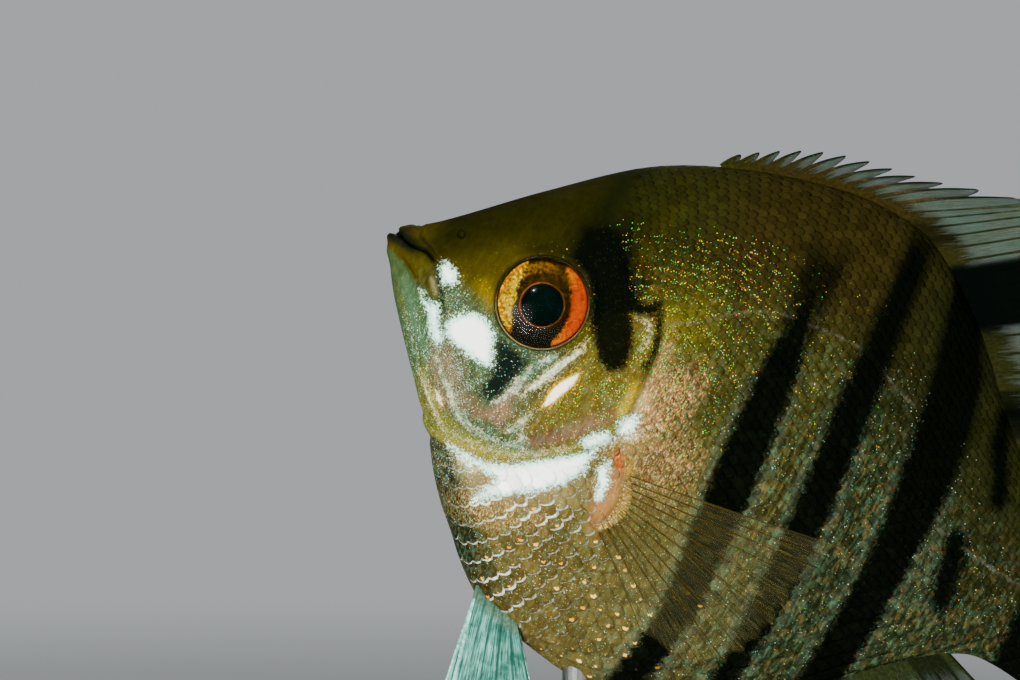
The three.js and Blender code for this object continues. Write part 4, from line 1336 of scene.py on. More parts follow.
def eyeFrame(side):
    # turns (right, up, out) of a lathe's own frame into the fish's frame, for the eye on one side
    forward, upward = math.radians(eyeParts["forward"]), math.radians(eyeParts["upward"])
    level = math.cos(upward)
    out = Vector((-math.sin(forward) * level, -math.cos(forward) * level, math.sin(upward)))
    level = Vector((math.cos(pitch), 0, math.sin(pitch)))
    right = (level - out * level.dot(out)).normalized()
    up = right.cross(-out)
    if up.z < 0:
        up = -up
    turn = np.array([right, up, out]).T
    place = np.array(eyeParts["center"])
    if side > 0:
        turn = np.diag([1, -1, 1]) @ turn
        place = place * (1, -1, 1)
    return turn, place


def eyePiece(name, profile, side, lowered, material, *nodes):
    shape = bmesh.new()
    chain = [shape.verts.new((radius, 0, high)) for radius, high in profile]
    for a, b in zip(chain, chain[1:]):
        shape.edges.new((a, b))
    bmesh.ops.subdivide_edges(shape, edges=shape.edges[:], cuts=3, smooth=0.0)
    bmesh.ops.spin(
        shape, geom=shape.verts[:] + shape.edges[:], axis=(0, 0, 1), cent=(0, 0, 0), angle=2 * math.pi,
        steps=eyeParts["segments"], use_merge=True, use_duplicate=False,
    )
    bmesh.ops.remove_doubles(shape, verts=shape.verts, dist=1e-4)
    mesh = bpy.data.meshes.new(name)
    shape.to_mesh(mesh)
    shape.free()
    local = np.zeros(3 * len(mesh.vertices), np.float32)
    mesh.vertices.foreach_get("co", local)
    local = local.reshape(-1, 3).astype(float)
    setValues(mesh, "eyePlace", local)
    # the pupil sits a little below the middle
    local[:, 1] -= lowered * (1 - smoothStep(2.3, 4.3, np.hypot(local[:, 0], local[:, 1])))
    turn, place = eyeFrame(side)
    setPoints(mesh, toPart(local @ turn.T + place))
    closeMesh(mesh)
    return newPiece(name, mesh, material, "eye", *nodes)


def makeIrisMaterial():
    material, tree, shader = newMaterial("iris", {"Specular IOR Level": 0.0})
    place = vectorFrom(tree, "eyePlace")
    axes = addNode(tree, "SeparateXYZ", {0: place}).outputs
    flat = combined(axes[0], axes[1], 0.0)
    radius = measured("LENGTH", flat)
    heading = vectorCalc("NORMALIZE", flat)
    fine = noiseOf(place, 4.0, 5, 0.75)
    streak = noiseOf(place, 2.4, 4, 0.7)
    wobble = swing(streak, 0.7)
    wobble = plus(wobble, swing(fine, 0.8))
    rough = plus(radius, wobble)

    def crescent(turn, narrow, inner, outer, widen):
        toward = (math.cos(math.radians(turn)), math.sin(math.radians(turn)), 0)
        facing = measured("DOT_PRODUCT", heading, toward)
        near = calc("POWER", rangeOf(facing, narrow, 1.0, kind="LINEAR"), widen)
        edge = rangeOf(near, 0, 1, outer, inner, "LINEAR")
        inside = rangeOf(minus(rough, edge), -0.22, 0.26)
        limit = rangeOf(radius, outer + 0.12, outer)
        reach = rangeOf(facing, narrow, narrow + 0.12)
        return times(times(inside, limit), reach), facing

    brown = mixColor(rangeOf(fine, 0.4, 0.72), colorOf(5, 4, 0), colorOf(17, 10, 0))
    lower = rangeOf(axes[1], -1.0, -3.2)
    color = mixColor(lower, brown, colorOf(5, 5, 2))
    halo = times(rangeOf(radius, 4.3, 2.9), rangeOf(axes[1], -1.5, 2.0))
    halo = times(halo, rangeOf(streak, 0.4, 0.65))
    color = mixColor(times(halo, 0.6), color, colorOf(40, 24, 0))
    arch = times(rangeOf(rough, 3.0, 3.5), rangeOf(rough, 4.3, 3.9))
    arch = times(arch, rangeOf(axes[1], 1.2, 2.8))
    arch = times(arch, rangeOf(fine, 0.4, 0.62))
    arch = times(arch, rangeOf(axes[0], 2.4, 0.0, 0.3, 0.75))
    color = mixColor(arch, color, colorOf(84, 54, 0))
    # the gold and orange crescents: partly the iris's own colour, partly the reflection of light on its
    # curved ring, painted in
    gold = crescent(166, 0.5, 2.8, 4.4, 0.85)[0]
    goldTone = mixColor(rangeOf(rough, 3.3, 4.3), colorOf(98, 78, 0), colorOf(92, 48, 0))
    goldTone = mixColor(rangeOf(fine, 0.5, 0.62), goldTone, colorOf(154, 136, 0))
    goldTone = mixColor(rangeOf(streak, 0.5, 0.38), goldTone, colorOf(60, 38, 0))
    color = mixColor(gold, color, goldTone)
    orange, orangeFacing = crescent(-12, 0.34, 2.9, 4.52, 0.62)
    orangeTurn = rangeOf(orangeFacing, 0.5, 0.9)
    orangeTone = mixColor(orangeTurn, colorOf(104, 54, 0), colorOf(98, 27, 0))
    speckled = times(rangeOf(fine, 0.5, 0.66), 0.5)
    orangeTone = mixColor(speckled, orangeTone, colorOf(130, 70, 0))
    orangeTone = mixColor(rangeOf(streak, 0.52, 0.36, 0.0, 0.8), orangeTone, colorOf(64, 11, 0))
    orangeTone = mixColor(rangeOf(radius, 4.1, 4.5, 0.0, 0.6), orangeTone, colorOf(90, 15, 0))
    color = mixColor(orange, color, orangeTone)
    pupilRim = times(rangeOf(radius, 2.36, 2.28), rangeOf(radius, 2.12, 2.18))
    pupilRim = times(pupilRim, rangeOf(axes[0], 1.5, -1.5, 0.35, 0.85))
    color = mixColor(pupilRim, color, colorOf(66, 36, 12))
    # a dark ring at the iris's edge, painted as the shadow of the lid's fold
    outer = times(rangeOf(radius, 4.38, 4.46), rangeOf(radius, 4.62, 4.56))
    color = mixColor(times(outer, 0.85), color, colorOf(5, 5, 1))
    pale = times(rangeOf(radius, 4.58, 4.64), rangeOf(axes[1], 2.5, -2.0, 0.1, 0.85))
    color = mixColor(pale, color, colorOf(84, 74, 44))
    link(color, shader["Base Color"])
    bright = larger(gold, orange)
    link(rangeOf(bright, 0, 1, 0.6, 0.5, "LINEAR"), shader["Roughness"])
    link(bumped(plus(fine, streak), 0.4, 0.00008), shader["Normal"])
    return material


def makeLensMaterial():
    material, tree, shader = newMaterial("lens", {"Specular IOR Level": 0.0})
    place = vectorFrom(tree, "eyePlace")
    deep = rangeOf(noiseOf(place, 0.5, 2), 0.35, 0.65)
    link(mixColor(deep, colorOf(0, 2, 1), colorOf(1, 5, 4)), shader["Base Color"])
    link(rangeOf(noiseOf(place, 6, 2), 0.3, 0.7, 0.4, 0.6), shader["Roughness"])
    return material


def makeCorneaMaterial():
    # clear and wet: light passes, and only the gloss is seen
    material, tree, shader = newMaterial(
        "cornea", {"Roughness": 0.04, "IOR": 1.1, "Transmission Weight": 1.0},
    )
    place = vectorFrom(tree, "eyePlace")
    haze = rangeOf(noiseOf(place, 0.8, 2), 0.3, 0.7)
    link(mixColor(haze, (1, 1, 1, 1), (0.96, 0.98, 0.97, 1)), shader["Base Color"])
    path = addNode(tree, "LightPath").outputs["Is Shadow Ray"]
    clear = addNode(tree, "BsdfTransparent")
    surface = addNode(tree, "MixShader", {0: path})
    output = tree.nodes["Material Output"]
    tree.links.new(tree.nodes["Principled BSDF"].outputs[0], surface.inputs[1])
    tree.links.new(clear.outputs[0], surface.inputs[2])
    tree.links.new(surface.outputs[0], output.inputs["Surface"])
    return material


def makeEyes():
    iris, lens, cornea = makeIrisMaterial(), makeLensMaterial(), makeCorneaMaterial()
    for side, word in ((-1, "left"), (1, "right")):
        eyePiece(f"eyeball_{word}", eyeParts["ball"], side, eyeParts["lowered"], iris, f"eye_{word}")
        eyePiece(f"lens_{word}", eyeParts["lens"], side, eyeParts["lowered"], lens)
        eyePiece(f"cornea_{word}", eyeParts["cornea"], side, 0, cornea)
    print("eyes")


# fins

def raysAlong(outline, start, end, count, angle, length, crowd=1.0, bend=None, spiny=False, reach=0.985):
    share = np.arange(count) / (count - 1)
    x = start + (end - start) * share**crowd
    return dict(
        root=np.stack([x, outline(x)], -1), angle=np.radians(angle(share)), length=length(share),
        bend=np.radians(bend(share)) if bend else np.zeros(count), spiny=np.full(count, spiny),
        reach=reach(share) if callable(reach) else np.full(count, reach),
    )


def joinRays(*groups):
    return {key: np.concatenate([group[key] for group in groups]) for key in groups[0]}


def reversedRays(rays):
    return {key: values[::-1] for key, values in rays.items()}


def rayPoint(rays, i, share):
    # a place on ray i, in the fin's own plane; shares below nought run straight back into the body
    turn, length = rays["bend"][i], rays["length"][i]
    bent = np.where(np.abs(turn) < 1e-3, 1e-3, turn)
    out = np.maximum(share, 0)
    heading = rays["angle"][i] + turn * out / 2
    chord = np.where(share > 0, 2 * length / bent * np.sin(bent * out / 2), length * share)
    return rays["root"][i] + np.stack([np.cos(heading) * chord, np.sin(heading) * chord], -1)


def webReach(rays, i, part):
    # how far out the web runs, between a ray and the next
    low = rays["reach"][i]
    spiny = 1 - (1 - rays["reach"][np.minimum(i + 1, len(low) - 1)]) * np.minimum(part / 0.95, 1) ** 1.2
    soft = 1 - (1 - low) * 4 * part * (1 - part)
    return np.where(rays["spiny"][i], spiny, soft)


def finPlace(rays, column, share):
    i = np.clip(np.floor(column).astype(int), 0, len(rays["length"]) - 2)
    part = column - i
    own = np.where(share > 0, share * webReach(rays, i, np.clip(part, 0, 1)), share)
    a, b = rayPoint(rays, i, own), rayPoint(rays, i + 1, own)
    return a + (b - a) * part[..., None]


def finLift(rays, look, column, share):
    wave = look.get("wave", 0) * np.maximum(share, 0) ** 2
    return wave * np.sin(look.get("phase", 0) + column / len(rays["length"]) * math.pi)


def finLength(rays, column):
    return np.interp(column, np.arange(len(rays["length"])), rays["length"])


finWeb = dict(
    parts=(0.0, 0.06, 0.14, 0.26, 0.4, 0.55, 0.7, 0.82, 0.9, 0.955),  # columns from a ray to the next
    half=0.055, sheathHeight=4.2, sink=2.4,
)


def makeFin(name, rays, look, toBody, webMaterial, rayMaterial, slot, *nodes):
    count = len(rays["length"])
    columns = np.array([i + part for i in range(count - 1) for part in finWeb["parts"]] + [count - 1.0])
    steps = look["steps"]
    mesh, across, around = gridMesh(name, len(columns) - 1, 2 * steps)
    column = np.interp(across * (len(columns) - 1), np.arange(len(columns)), columns)
    turn = np.abs(1 - 2 * around)  # 1 at both roots, 0 at the tip
    side = np.where(around < 0.5, -1.0, 1.0)
    share = (1 - turn) ** 1.25
    length = finLength(rays, column)
    sunk = turn > 1 - 1e-6
    share = np.where(sunk, -finWeb["sink"] / length, share)
    flat = finPlace(rays, column, share)
    out = np.maximum(share, 0)
    closing = np.where(sunk | (turn < 1e-6) | (column < 1e-6) | (column > count - 1 - 1e-6), 0.0, 1.0)
    sheath = look["sheath"] * np.exp(-(out * length) / finWeb["sheathHeight"])
    half = finWeb["half"] * (1 - 0.5 * out**6) + sheath
    ripple = 0.05 * np.sin(column * 2 * math.pi) * smoothStep(0, 0.3, out)
    y = finLift(rays, look, column, share) + ripple + side * half * closing
    placed = toBody(np.stack([flat[:, 0], y, flat[:, 1]], -1))
    setPoints(mesh, toPart(placed))
    setValues(mesh, "place", placed)
    setValues(mesh, "ray", column)
    setValues(mesh, "out", out)
    setValues(mesh, "fromFoot", out * length)
    gapEnd = finPlace(rays, np.minimum(column + 0.5, count - 1.0), share)
    gapStart = finPlace(rays, np.maximum(column - 0.5, 0.0), share)
    setValues(mesh, "gap", np.linalg.norm(gapEnd - gapStart, axis=1))
    setValues(mesh, "spiny", np.interp(column, np.arange(count), rays["spiny"].astype(float)))
    setValues(mesh, "toMargin", (1 - out) * length)
    setFinMarks(mesh, look, column / (count - 1), out)
    setFootTone(mesh, rays, look, column)
    closeMesh(mesh)
    web = newPiece(name, mesh, webMaterial, slot, *nodes)
    makeRays(name + "_rays", rays, look, toBody, rayMaterial, slot)
    print(name, count, "rays")
    return web


def rodShape(sides, rings):
    # a closed rod standing on its end, with each vertex's ring and its turn about the middle
    shape = bmesh.new()
    bmesh.ops.create_cone(shape, cap_ends=True, segments=sides, radius1=1, radius2=1, depth=2)
    long = [edge for edge in shape.edges if abs(edge.verts[0].co.z - edge.verts[1].co.z) > 1]
    bmesh.ops.subdivide_edgering(shape, edges=long, cuts=rings - 2, interp_mode="LINEAR")
    places = np.array([vert.co for vert in shape.verts])
    step = np.round((places[:, 2] + 1) / 2 * (rings - 1)).astype(int)
    return shape, step, np.arctan2(places[:, 1], places[:, 0])


finRay = dict(sides=6, steps=44)


def makeRays(name, rays, look, toBody, material, slot):
    # each soft ray is a bundle of fine rods that fan apart towards the margin
    count = len(rays["length"])
    sides, steps = finRay["sides"], finRay["steps"]
    share = np.concatenate([[-0.06], np.linspace(0, 1, steps) ** 1.1])
    column, thick, place = [], [], []
    for i in range(count):
        spiny = rays["spiny"][i]
        branches = (0.0,) if spiny else look["branches"]
        for branch in branches:
            fan = smoothStep(look["split"], 1.05, share) * look["fan"] * (0.5 + 0.5 * abs(branch))
            own = i + branch * (fan + look.get("twin", 0.0) * (1 - 0.4 * share))
            column.append(np.clip(own, 0, count - 1))
            root, tip = look["spine"] if spiny else look["rod"]
            width = root + (tip - root) * np.maximum(share, 0) ** 0.8
            width = np.where(share > 0.985, width * 0.35, width)
            thick.append(width)
            place.append(i)
    column, thick = np.array(column), np.array(thick)
    share = np.broadcast_to(share, column.shape)
    flat = finPlace(rays, column, share * 0.998)
    line = np.stack([flat[..., 0], finLift(rays, look, column, share), flat[..., 1]], -1)
    ahead = np.gradient(line, axis=1)
    ahead /= np.linalg.norm(ahead, axis=-1, keepdims=True)
    wide = np.cross(ahead, (0, 1, 0))
    shape, step, turn = rodShape(sides, steps + 1)
    deep = np.array((0, 1.0, 0))
    thick = thick[:, step, None]
    placed = (
        line[:, step] + wide[:, step] * (np.cos(turn)[None, :, None] * thick)
        + deep * (np.sin(turn)[None, :, None] * thick * look.get("proud", 1.15))
    )
    placed = toBody(placed.reshape(-1, 3))
    mesh = copiesOf(name, shape, len(column))
    setPoints(mesh, toPart(placed))
    column, out = column[:, step].ravel(), np.maximum(share[:, step], 0).ravel()
    setValues(mesh, "place", placed)
    setValues(mesh, "out", out)
    setValues(mesh, "fromFoot", out * finLength(rays, column))
    setValues(mesh, "spiny", np.repeat(rays["spiny"][place].astype(float), len(step)))
    setFinMarks(mesh, look, column / (count - 1), out)
    setFootTone(mesh, rays, look, column)
    closeMesh(mesh, 0)
    return newPiece(name, mesh, material, slot)


def setFinMarks(mesh, look, fan, out):
    # how dark the fin's bars are at each place, over the share across its rays and along them
    fan, out = np.broadcast_arrays(fan, out)
    dark = np.zeros(fan.shape)
    for middle, half, start, end, strength in look.get("bands", ()):
        across = 1 - smoothStep(half * 0.75, half * 1.15, np.abs(fan - middle))
        along = smoothStep(start - 0.06, start + 0.04, out) * (1 - smoothStep(end - 0.25, end, out))
        dark = np.maximum(dark, strength * across * along)
    setValues(mesh, "band", dark.ravel())


def setFootTone(mesh, rays, look, column):
    # the body's own tone and bars, carried on to the fin's foot
    foot = finPlace(rays, column, np.zeros(column.shape))
    if "foot" in look:
        tint = np.broadcast_to(linearTone(*look["foot"]), (*column.shape, 3))
        dark = np.full(column.shape, -9.0)
    else:
        marks = marksAt(foot[:, 0], foot[:, 1] * 0.97)
        tint, dark = marks["tint"], np.where(foot[:, 0] < 51, -9, marks["dark"])
    setValues(mesh, "footTint", tint)
    setValues(mesh, "footDark", dark)


dorsalLook = dict(
    steps=34, wave=2.4, sheath=0.36, split=0.35, fan=0.3, branches=(-1, -0.33, 0.33, 1), spine=(0.3, 0.07),
    rod=(0.15, 0.05),
    bands=((0.625, 0.072, -0.2, 0.8, 1.0), (0.85, 0.05, -0.2, 0.6, 0.7), (0.97, 0.04, -0.2, 0.9, 0.7)),
)
analLook = dict(
    steps=34, wave=-2.2, sheath=0.36, split=0.35, fan=0.3, branches=(-1, -0.33, 0.33, 1),
    spine=(0.28, 0.07),
    rod=(0.15, 0.05),
    bands=((0.61, 0.08, -0.2, 0.8, 1.0), (0.36, 0.06, -0.2, 0.5, 0.7), (0.08, 0.06, -0.2, 0.9, 0.6)),
)
caudalLook = dict(
    steps=30, wave=2.0, phase=0.6, sheath=0.35, split=0.3, fan=0.32, branches=(-1, -0.33, 0.33, 1),
    spine=(0.2, 0.06), rod=(0.13, 0.045),
    bands=((0.5, 0.7, 0.02, 0.34, 0.55), (0.5, 0.7, 0.5, 0.86, 0.28)),
)
pectoralLook = dict(
    steps=26, wave=-1.0, sheath=0.4, split=0.42, fan=0.26, twin=0.05, branches=(-1, 1), spine=(0.08, 0.03),
    rod=(0.045, 0.014), proud=1.0, foot=(170, 128, 26),
)
pelvicLook = dict(
    steps=34, wave=0.6, sheath=0.35, split=0.2, fan=0.36, branches=(-1, -0.5, 0, 0.5, 1), spine=(0.3, 0.08),
    rod=(0.14, 0.06), foot=(60, 84, 66),
)
dorsalRays = joinRays(
    raysAlong(
        backLine, 25.6, 42, 12, crowd=1.1, spiny=True,
        reach=smoothThrough((0, 0.2), (0.3, 0.22), (0.5, 0.35), (0.8, 0.41), (0.92, 0.5), (1, 0.62)),
        angle=smoothThrough((0, 72), (0.35, 66), (0.7, 49), (1, 38)),
        bend=smoothThrough((0, -24), (0.7, -22), (1, -12)),
        length=smoothThrough((0, 2.1), (0.27, 4.3), (0.55, 6.5), (0.8, 8.7), (1, 13.4)),
    ),
    raysAlong(
        backLine, 43.6, 69.4, 20,
        angle=smoothThrough((0, 32), (0.25, 37), (0.5, 34), (0.75, 27), (1, 17)),
        length=smoothThrough(
            (0, 17), (0.1, 31), (0.2, 48), (0.27, 56), (0.34, 48), (0.45, 35), (0.6, 24), (0.8, 15),
            (1, 10),
        ),
        bend=smoothThrough((0, 0), (0.25, 8), (1, 4)),
    ),
)
analRays = reversedRays(joinRays(
    raysAlong(
        bellyLine, 42.4, 49, 6, spiny=True, reach=0.86,
        angle=smoothThrough((0, -62), (1, -52)), length=smoothThrough((0, 2.6), (0.5, 8.5), (1, 19)),
    ),
    raysAlong(
        bellyLine, 50.2, 69.4, 19,
        angle=smoothThrough((0, -51), (0.25, -47), (0.5, -41), (0.75, -30), (1, -18)),
        length=smoothThrough(
            (0, 26), (0.1, 42), (0.18, 56), (0.26, 50), (0.4, 36), (0.6, 24), (0.8, 15.5), (1, 10.5),
        ),
        bend=smoothThrough((0, 0), (0.2, 10), (1, 0)),
    ),
))


def makeRaySet(root, angle, length, bend, spiny=None, reach=0.985):
    count = len(length)
    return dict(
        root=np.array(root, float), angle=np.radians(angle), length=np.array(length, float),
        bend=np.radians(bend), spiny=np.array(spiny if spiny else [False] * count),
        reach=np.full(count, reach),
    )


def makeFanRays():
    high = 1 - 2 * np.arange(16) / 15
    caudal = makeRaySet(
        np.stack([82 - 0.6 - 1.4 * high**2, 8.6 * high - 0.2], -1), 25 * high,
        25 + 5 * high**2 + 13 * high**8, -6 * high,
    )
    share = np.arange(12) / 11
    high = 1 - 2 * share
    pectoral = makeRaySet(
        np.stack([1.4 - 1.6 * high**2, 3.1 * high], -1),
        smoothThrough((0, 11), (0.27, 5.5), (0.5, -7), (0.75, -19), (1, -32))(share),
        smoothThrough((0, 24), (0.25, 21), (0.5, 20), (0.8, 18), (1, 11.5))(share), 2 - 7 * share,
        reach=0.96,
    )
    step = np.arange(6) / 5
    pelvic = makeRaySet(
        np.stack([(step - 0.5) * 5.6, (0.5 - step) * 1.2], -1), [-77, -76, -74, -68, -60, -50],
        [17, 60, 36, 24, 17, 12], [4, 20, 14, 8, 6, 4], spiny=[True] + [False] * 5, reach=0.94,
    )
    return caudal, pectoral, reversedRays(pelvic)


def turnedBy(*turns, place=(0, 0, 0), mirror=False):
    # a fin's own frame to the fish's: turns about named axes in order, then a shift
    matrix = Matrix.Identity(3)
    for degrees, axis in turns:
        matrix = Matrix.Rotation(math.radians(degrees), 3, axis) @ matrix
    matrix = np.array(matrix)

    def toBody(points):
        moved = np.asarray(points) @ matrix.T + np.array(place)
        return moved * (1, -1, 1) if mirror else moved

    return toBody


def makeFins(web, ray, clearWeb, clearRay, blueWeb, blueRay):
    caudal, pectoral, pelvic = makeFanRays()
    still = turnedBy()
    makeFin("dorsal_web", dorsalRays, dorsalLook, still, web, ray, "fin", "dorsal_fin")
    makeFin("anal_web", analRays, analLook, still, web, ray, "fin", "anal_fin")
    makeFin("caudal_web", caudal, caudalLook, still, web, ray, "fin", "caudal_fin")
    for word, mirror in (("left", False), ("right", True)):
        toBody = turnedBy((-24, "Z"), (6, "X"), place=(32, -6.35, -12.1), mirror=mirror)
        makeFin(
            f"pectoral_web_{word}", pectoral, pectoralLook, toBody, clearWeb, clearRay, "clear_fin",
            f"pectoral_fin_{word}",
        )
    for word, side, swing in (("left", 1, 0), ("right", -1, 5)):
        toBody = turnedBy((-9 * side, "X"), (swing, "Y"), place=(27.2, -1.5 * side, -27.6))
        makeFin(
            f"pelvic_web_{word}", pelvic, pelvicLook, toBody, blueWeb, blueRay, "blue_fin",
            f"pelvic_fin_{word}",
        )


def socketName(key):
    return "".join(" " + letter.lower() if letter.isupper() else letter for letter in key).capitalize()


def lookInputs(tree, look, vectors, values):
    # a look's own numbers and tones, and the named attributes, under the group's socket names
    given = {socketName(key): value for key, value in look.items()}
    given.update({socketName(key): vectorFrom(tree, key) for key in vectors})
    given.update({socketName(key): valueFrom(tree, key) for key in values})
    return given


def makeWebGroup():
    # a thin web: clearer between its rays, with its own fine rays, a foot in the body's tone and dark bars
    inputs = dict.fromkeys(("Place",), "Vector")
    inputs.update(dict.fromkeys(("Foot tint", "Web", "Streak", "Cloud", "Ray tone", "Edge tone"), "Color"))
    inputs.update(dict.fromkeys((
        "Ray", "Gap", "Band", "From foot", "To margin", "Foot dark", "Ray width", "Ray shade",
        "Ray on foot",
        "Foot reach", "Foot alpha", "Foot glint", "Alpha", "Streak alpha", "Edge", "Edge shade",
        "Edge alpha",
    ), "Float"))
    outputs = dict(Color="Color", Alpha="Float", Roughness="Float", Height="Float")
    tree, given, out = newGroup("finWebFinish", inputs, outputs)
    column, foot, band = given["Ray"], given["From foot"], given["Band"]
    cell = minus(calc("FRACT", column), 0.5)
    fromRay = times(minus(0.5, calc("ABSOLUTE", cell)), given["Gap"])
    across, along = times(column, 9.0), times(foot, 0.35)
    streak = noiseOf(combined(across, along, 0.0), 1.0, 4, 0.65)
    cloud = noiseOf(given["Place"], 0.5, 3, 0.6)
    ray = rangeOf(fromRay, given["Ray width"], times(given["Ray width"], 0.3))
    color = mixColor(rangeOf(streak, 0.3, 0.7), given["Web"], given["Streak"])
    color = mixColor(rangeOf(cloud, 0.3, 0.75), color, given["Cloud"])
    color = mixColor(times(ray, given["Ray shade"]), color, given["Ray tone"])
    # the foot carries the body's tone a little way out, to a ragged edge
    ragged = swing(streak, times(given["Foot reach"], 1.6))
    footEnd = times(given["Foot reach"], 0.2)
    footMask = rangeOf(plus(foot, ragged), given["Foot reach"], footEnd)
    grain = noiseOf(given["Place"], 3.0, 4, 0.7)
    shade = rangeOf(grain, 0.3, 0.7, 0.6, 1.5)
    footTone = scaled(given["Foot tint"], shade)
    color = mixColor(footMask, color, footTone)
    glint = times(rangeOf(grain, 0.5, 0.6), given["Foot glint"])
    color = mixColor(times(glint, footMask), color, colorOf(248, 238, 190))
    color = mixColor(times(ray, given["Ray on foot"]), color, given["Ray tone"])
    # dark bars, and those of the body where they run on into the foot
    torn = plus(band, swing(streak, 0.9))
    dark = times(rangeOf(torn, 0.3, 0.62), band, clamp=True)
    carried = times(rangeOf(given["Foot dark"], -0.4, 0.3), rangeOf(foot, 9.0, 4.0))
    dark = larger(dark, carried)
    color = mixColor(times(dark, 0.99), color, colorOf(1, 3, 2))
    edge = rangeOf(given["To margin"], given["Edge"], 0.0)
    color = mixColor(times(edge, given["Edge shade"]), color, given["Edge tone"])
    solid = plus(given["Alpha"], times(ray, 0.3))
    streaked = times(rangeOf(streak, 0.35, 0.7), given["Streak alpha"])
    solid = larger(plus(solid, streaked), dark)
    solid = larger(solid, times(footMask, given["Foot alpha"]))
    solid = larger(solid, times(edge, given["Edge alpha"]), clamp=True)
    link(color, out["Color"])
    link(solid, out["Alpha"])
    link(rangeOf(streak, 0.3, 0.7, 0.62, 0.8), out["Roughness"])
    link(plus(ray, streak), out["Height"])
    return tree


def makeWebMaterial(name, group, look):
    material, tree, shader = newMaterial(name, {"Specular IOR Level": 0.02})
    values = ("ray", "gap", "band", "fromFoot", "toMargin", "footDark")
    out = useGroup(tree, group, lookInputs(tree, look, ("place", "footTint"), values))
    for socket, source in (("Base Color", "Color"), ("Alpha", "Alpha"), ("Roughness", "Roughness")):
        link(out[source], shader[socket])
    link(bumped(out["Height"], 0.5, 0.0001), shader["Normal"])
    return material


def makeRayGroup():
    # jointed rods, paler at the root, with the body's tone and bars at the foot
    inputs = dict.fromkeys(("Place",), "Vector")
    inputs.update(dict.fromkeys(("Foot tint", "Root", "Tip", "Vary", "Joint", "Spine"), "Color"))
    inputs.update(dict.fromkeys((
        "Band", "Out", "From foot", "Spiny", "Foot dark", "Joints per mm", "Joint shade", "Spine shade",
        "Foot reach",
    ), "Float"))
    outputs = dict(Color="Color", Roughness="Float", Height="Float")
    tree, given, out = newGroup("finRayFinish", inputs, outputs)
    foot, reach = given["From foot"], given["Out"]
    grain = noiseOf(given["Place"], 2.2, 3, 0.6)
    joint = rangeOf(calc("FRACT", times(foot, given["Joints per mm"])), 0.24, 0.1)
    joint = times(joint, rangeOf(reach, 0.12, 0.25))
    color = mixColor(rangeOf(reach, 0.0, 0.8), given["Root"], given["Tip"])
    color = mixColor(rangeOf(grain, 0.35, 0.7), color, given["Vary"])
    color = mixColor(times(joint, given["Joint shade"]), color, given["Joint"])
    spine = times(given["Spiny"], given["Spine shade"])
    color = mixColor(times(spine, rangeOf(reach, 0.25, 0.6)), color, given["Spine"])
    nearFoot = rangeOf(foot, given["Foot reach"], times(given["Foot reach"], 0.4))
    color = mixColor(nearFoot, color, given["Foot tint"])
    carried = times(rangeOf(given["Foot dark"], -0.4, 0.3), rangeOf(foot, 9.0, 4.0))
    dark = larger(times(rangeOf(given["Band"], 0.3, 0.7), 0.96), carried)
    link(mixColor(dark, color, colorOf(1, 3, 2)), out["Color"])
    link(rangeOf(grain, 0.3, 0.7, 0.3, 0.5), out["Roughness"])
    link(joint, out["Height"])
    return tree


def makeRayMaterial(name, group, look):
    material, tree, shader = newMaterial(name, {"Specular IOR Level": 0.06})
    values = ("band", "out", "fromFoot", "spiny", "footDark")
    out = useGroup(tree, group, lookInputs(tree, look, ("place", "footTint"), values))
    link(out["Color"], shader["Base Color"])
    link(out["Roughness"], shader["Roughness"])
    link(bumped(out["Height"], 0.5, 0.00006), shader["Normal"])
    return material


webLook = dict(
    web=colorOf(14, 32, 24), streak=colorOf(52, 76, 58), cloud=colorOf(34, 42, 22),
    rayTone=colorOf(14, 14, 3), rayWidth=0.2, rayShade=0.8, footReach=4.6, footAlpha=1.0, rayOnFoot=0.0,
    footGlint=0.0, alpha=0.5, streakAlpha=0.3, edge=0.6, edgeShade=0.85, edgeTone=colorOf(8, 16, 10),
    edgeAlpha=0.9,
)
clearLook = dict(
    web=colorOf(110, 108, 64), streak=colorOf(150, 140, 72), cloud=colorOf(110, 112, 76),
    rayTone=colorOf(34, 25, 2), rayWidth=0.1, rayShade=0.95, footReach=0.42, footAlpha=0.75,
    rayOnFoot=0.85, footGlint=0.95, alpha=0.012, streakAlpha=0.04, edge=0.1, edgeShade=0.1,
    edgeTone=colorOf(120, 116, 70), edgeAlpha=0.05,
)
blueLook = dict(
    web=colorOf(14, 58, 50), streak=colorOf(110, 180, 162), cloud=colorOf(24, 70, 58),
    rayTone=colorOf(16, 44, 38), rayWidth=0.2, rayShade=0.7, footReach=1.2, footAlpha=1.0,
    rayOnFoot=0.3, footGlint=0.0, alpha=0.8, streakAlpha=0.3, edge=0.4, edgeShade=0.6,
    edgeTone=colorOf(206, 232, 222), edgeAlpha=0.95,
)
rayLook = dict(
    root=colorOf(44, 26, 3), tip=colorOf(22, 34, 20), vary=colorOf(62, 54, 22), joint=colorOf(20, 16, 5),
    jointsPerMm=2.2, jointShade=0.6, spine=colorOf(6, 12, 8), spineShade=0.9, footReach=3.0,
)
clearRayLook = dict(
    root=colorOf(76, 54, 3), tip=colorOf(24, 18, 2), vary=colorOf(44, 32, 4), joint=colorOf(12, 9, 1),
    jointsPerMm=2.6, jointShade=0.75, spine=colorOf(50, 42, 12), spineShade=0.2, footReach=0.4,
)
blueRayLook = dict(
    root=colorOf(80, 140, 124), tip=colorOf(44, 104, 94), vary=colorOf(150, 204, 188),
    joint=colorOf(30, 66, 58), jointsPerMm=1.8, jointShade=0.4, spine=colorOf(170, 214, 200),
    spineShade=0.4, footReach=0.6,
)


# the stand

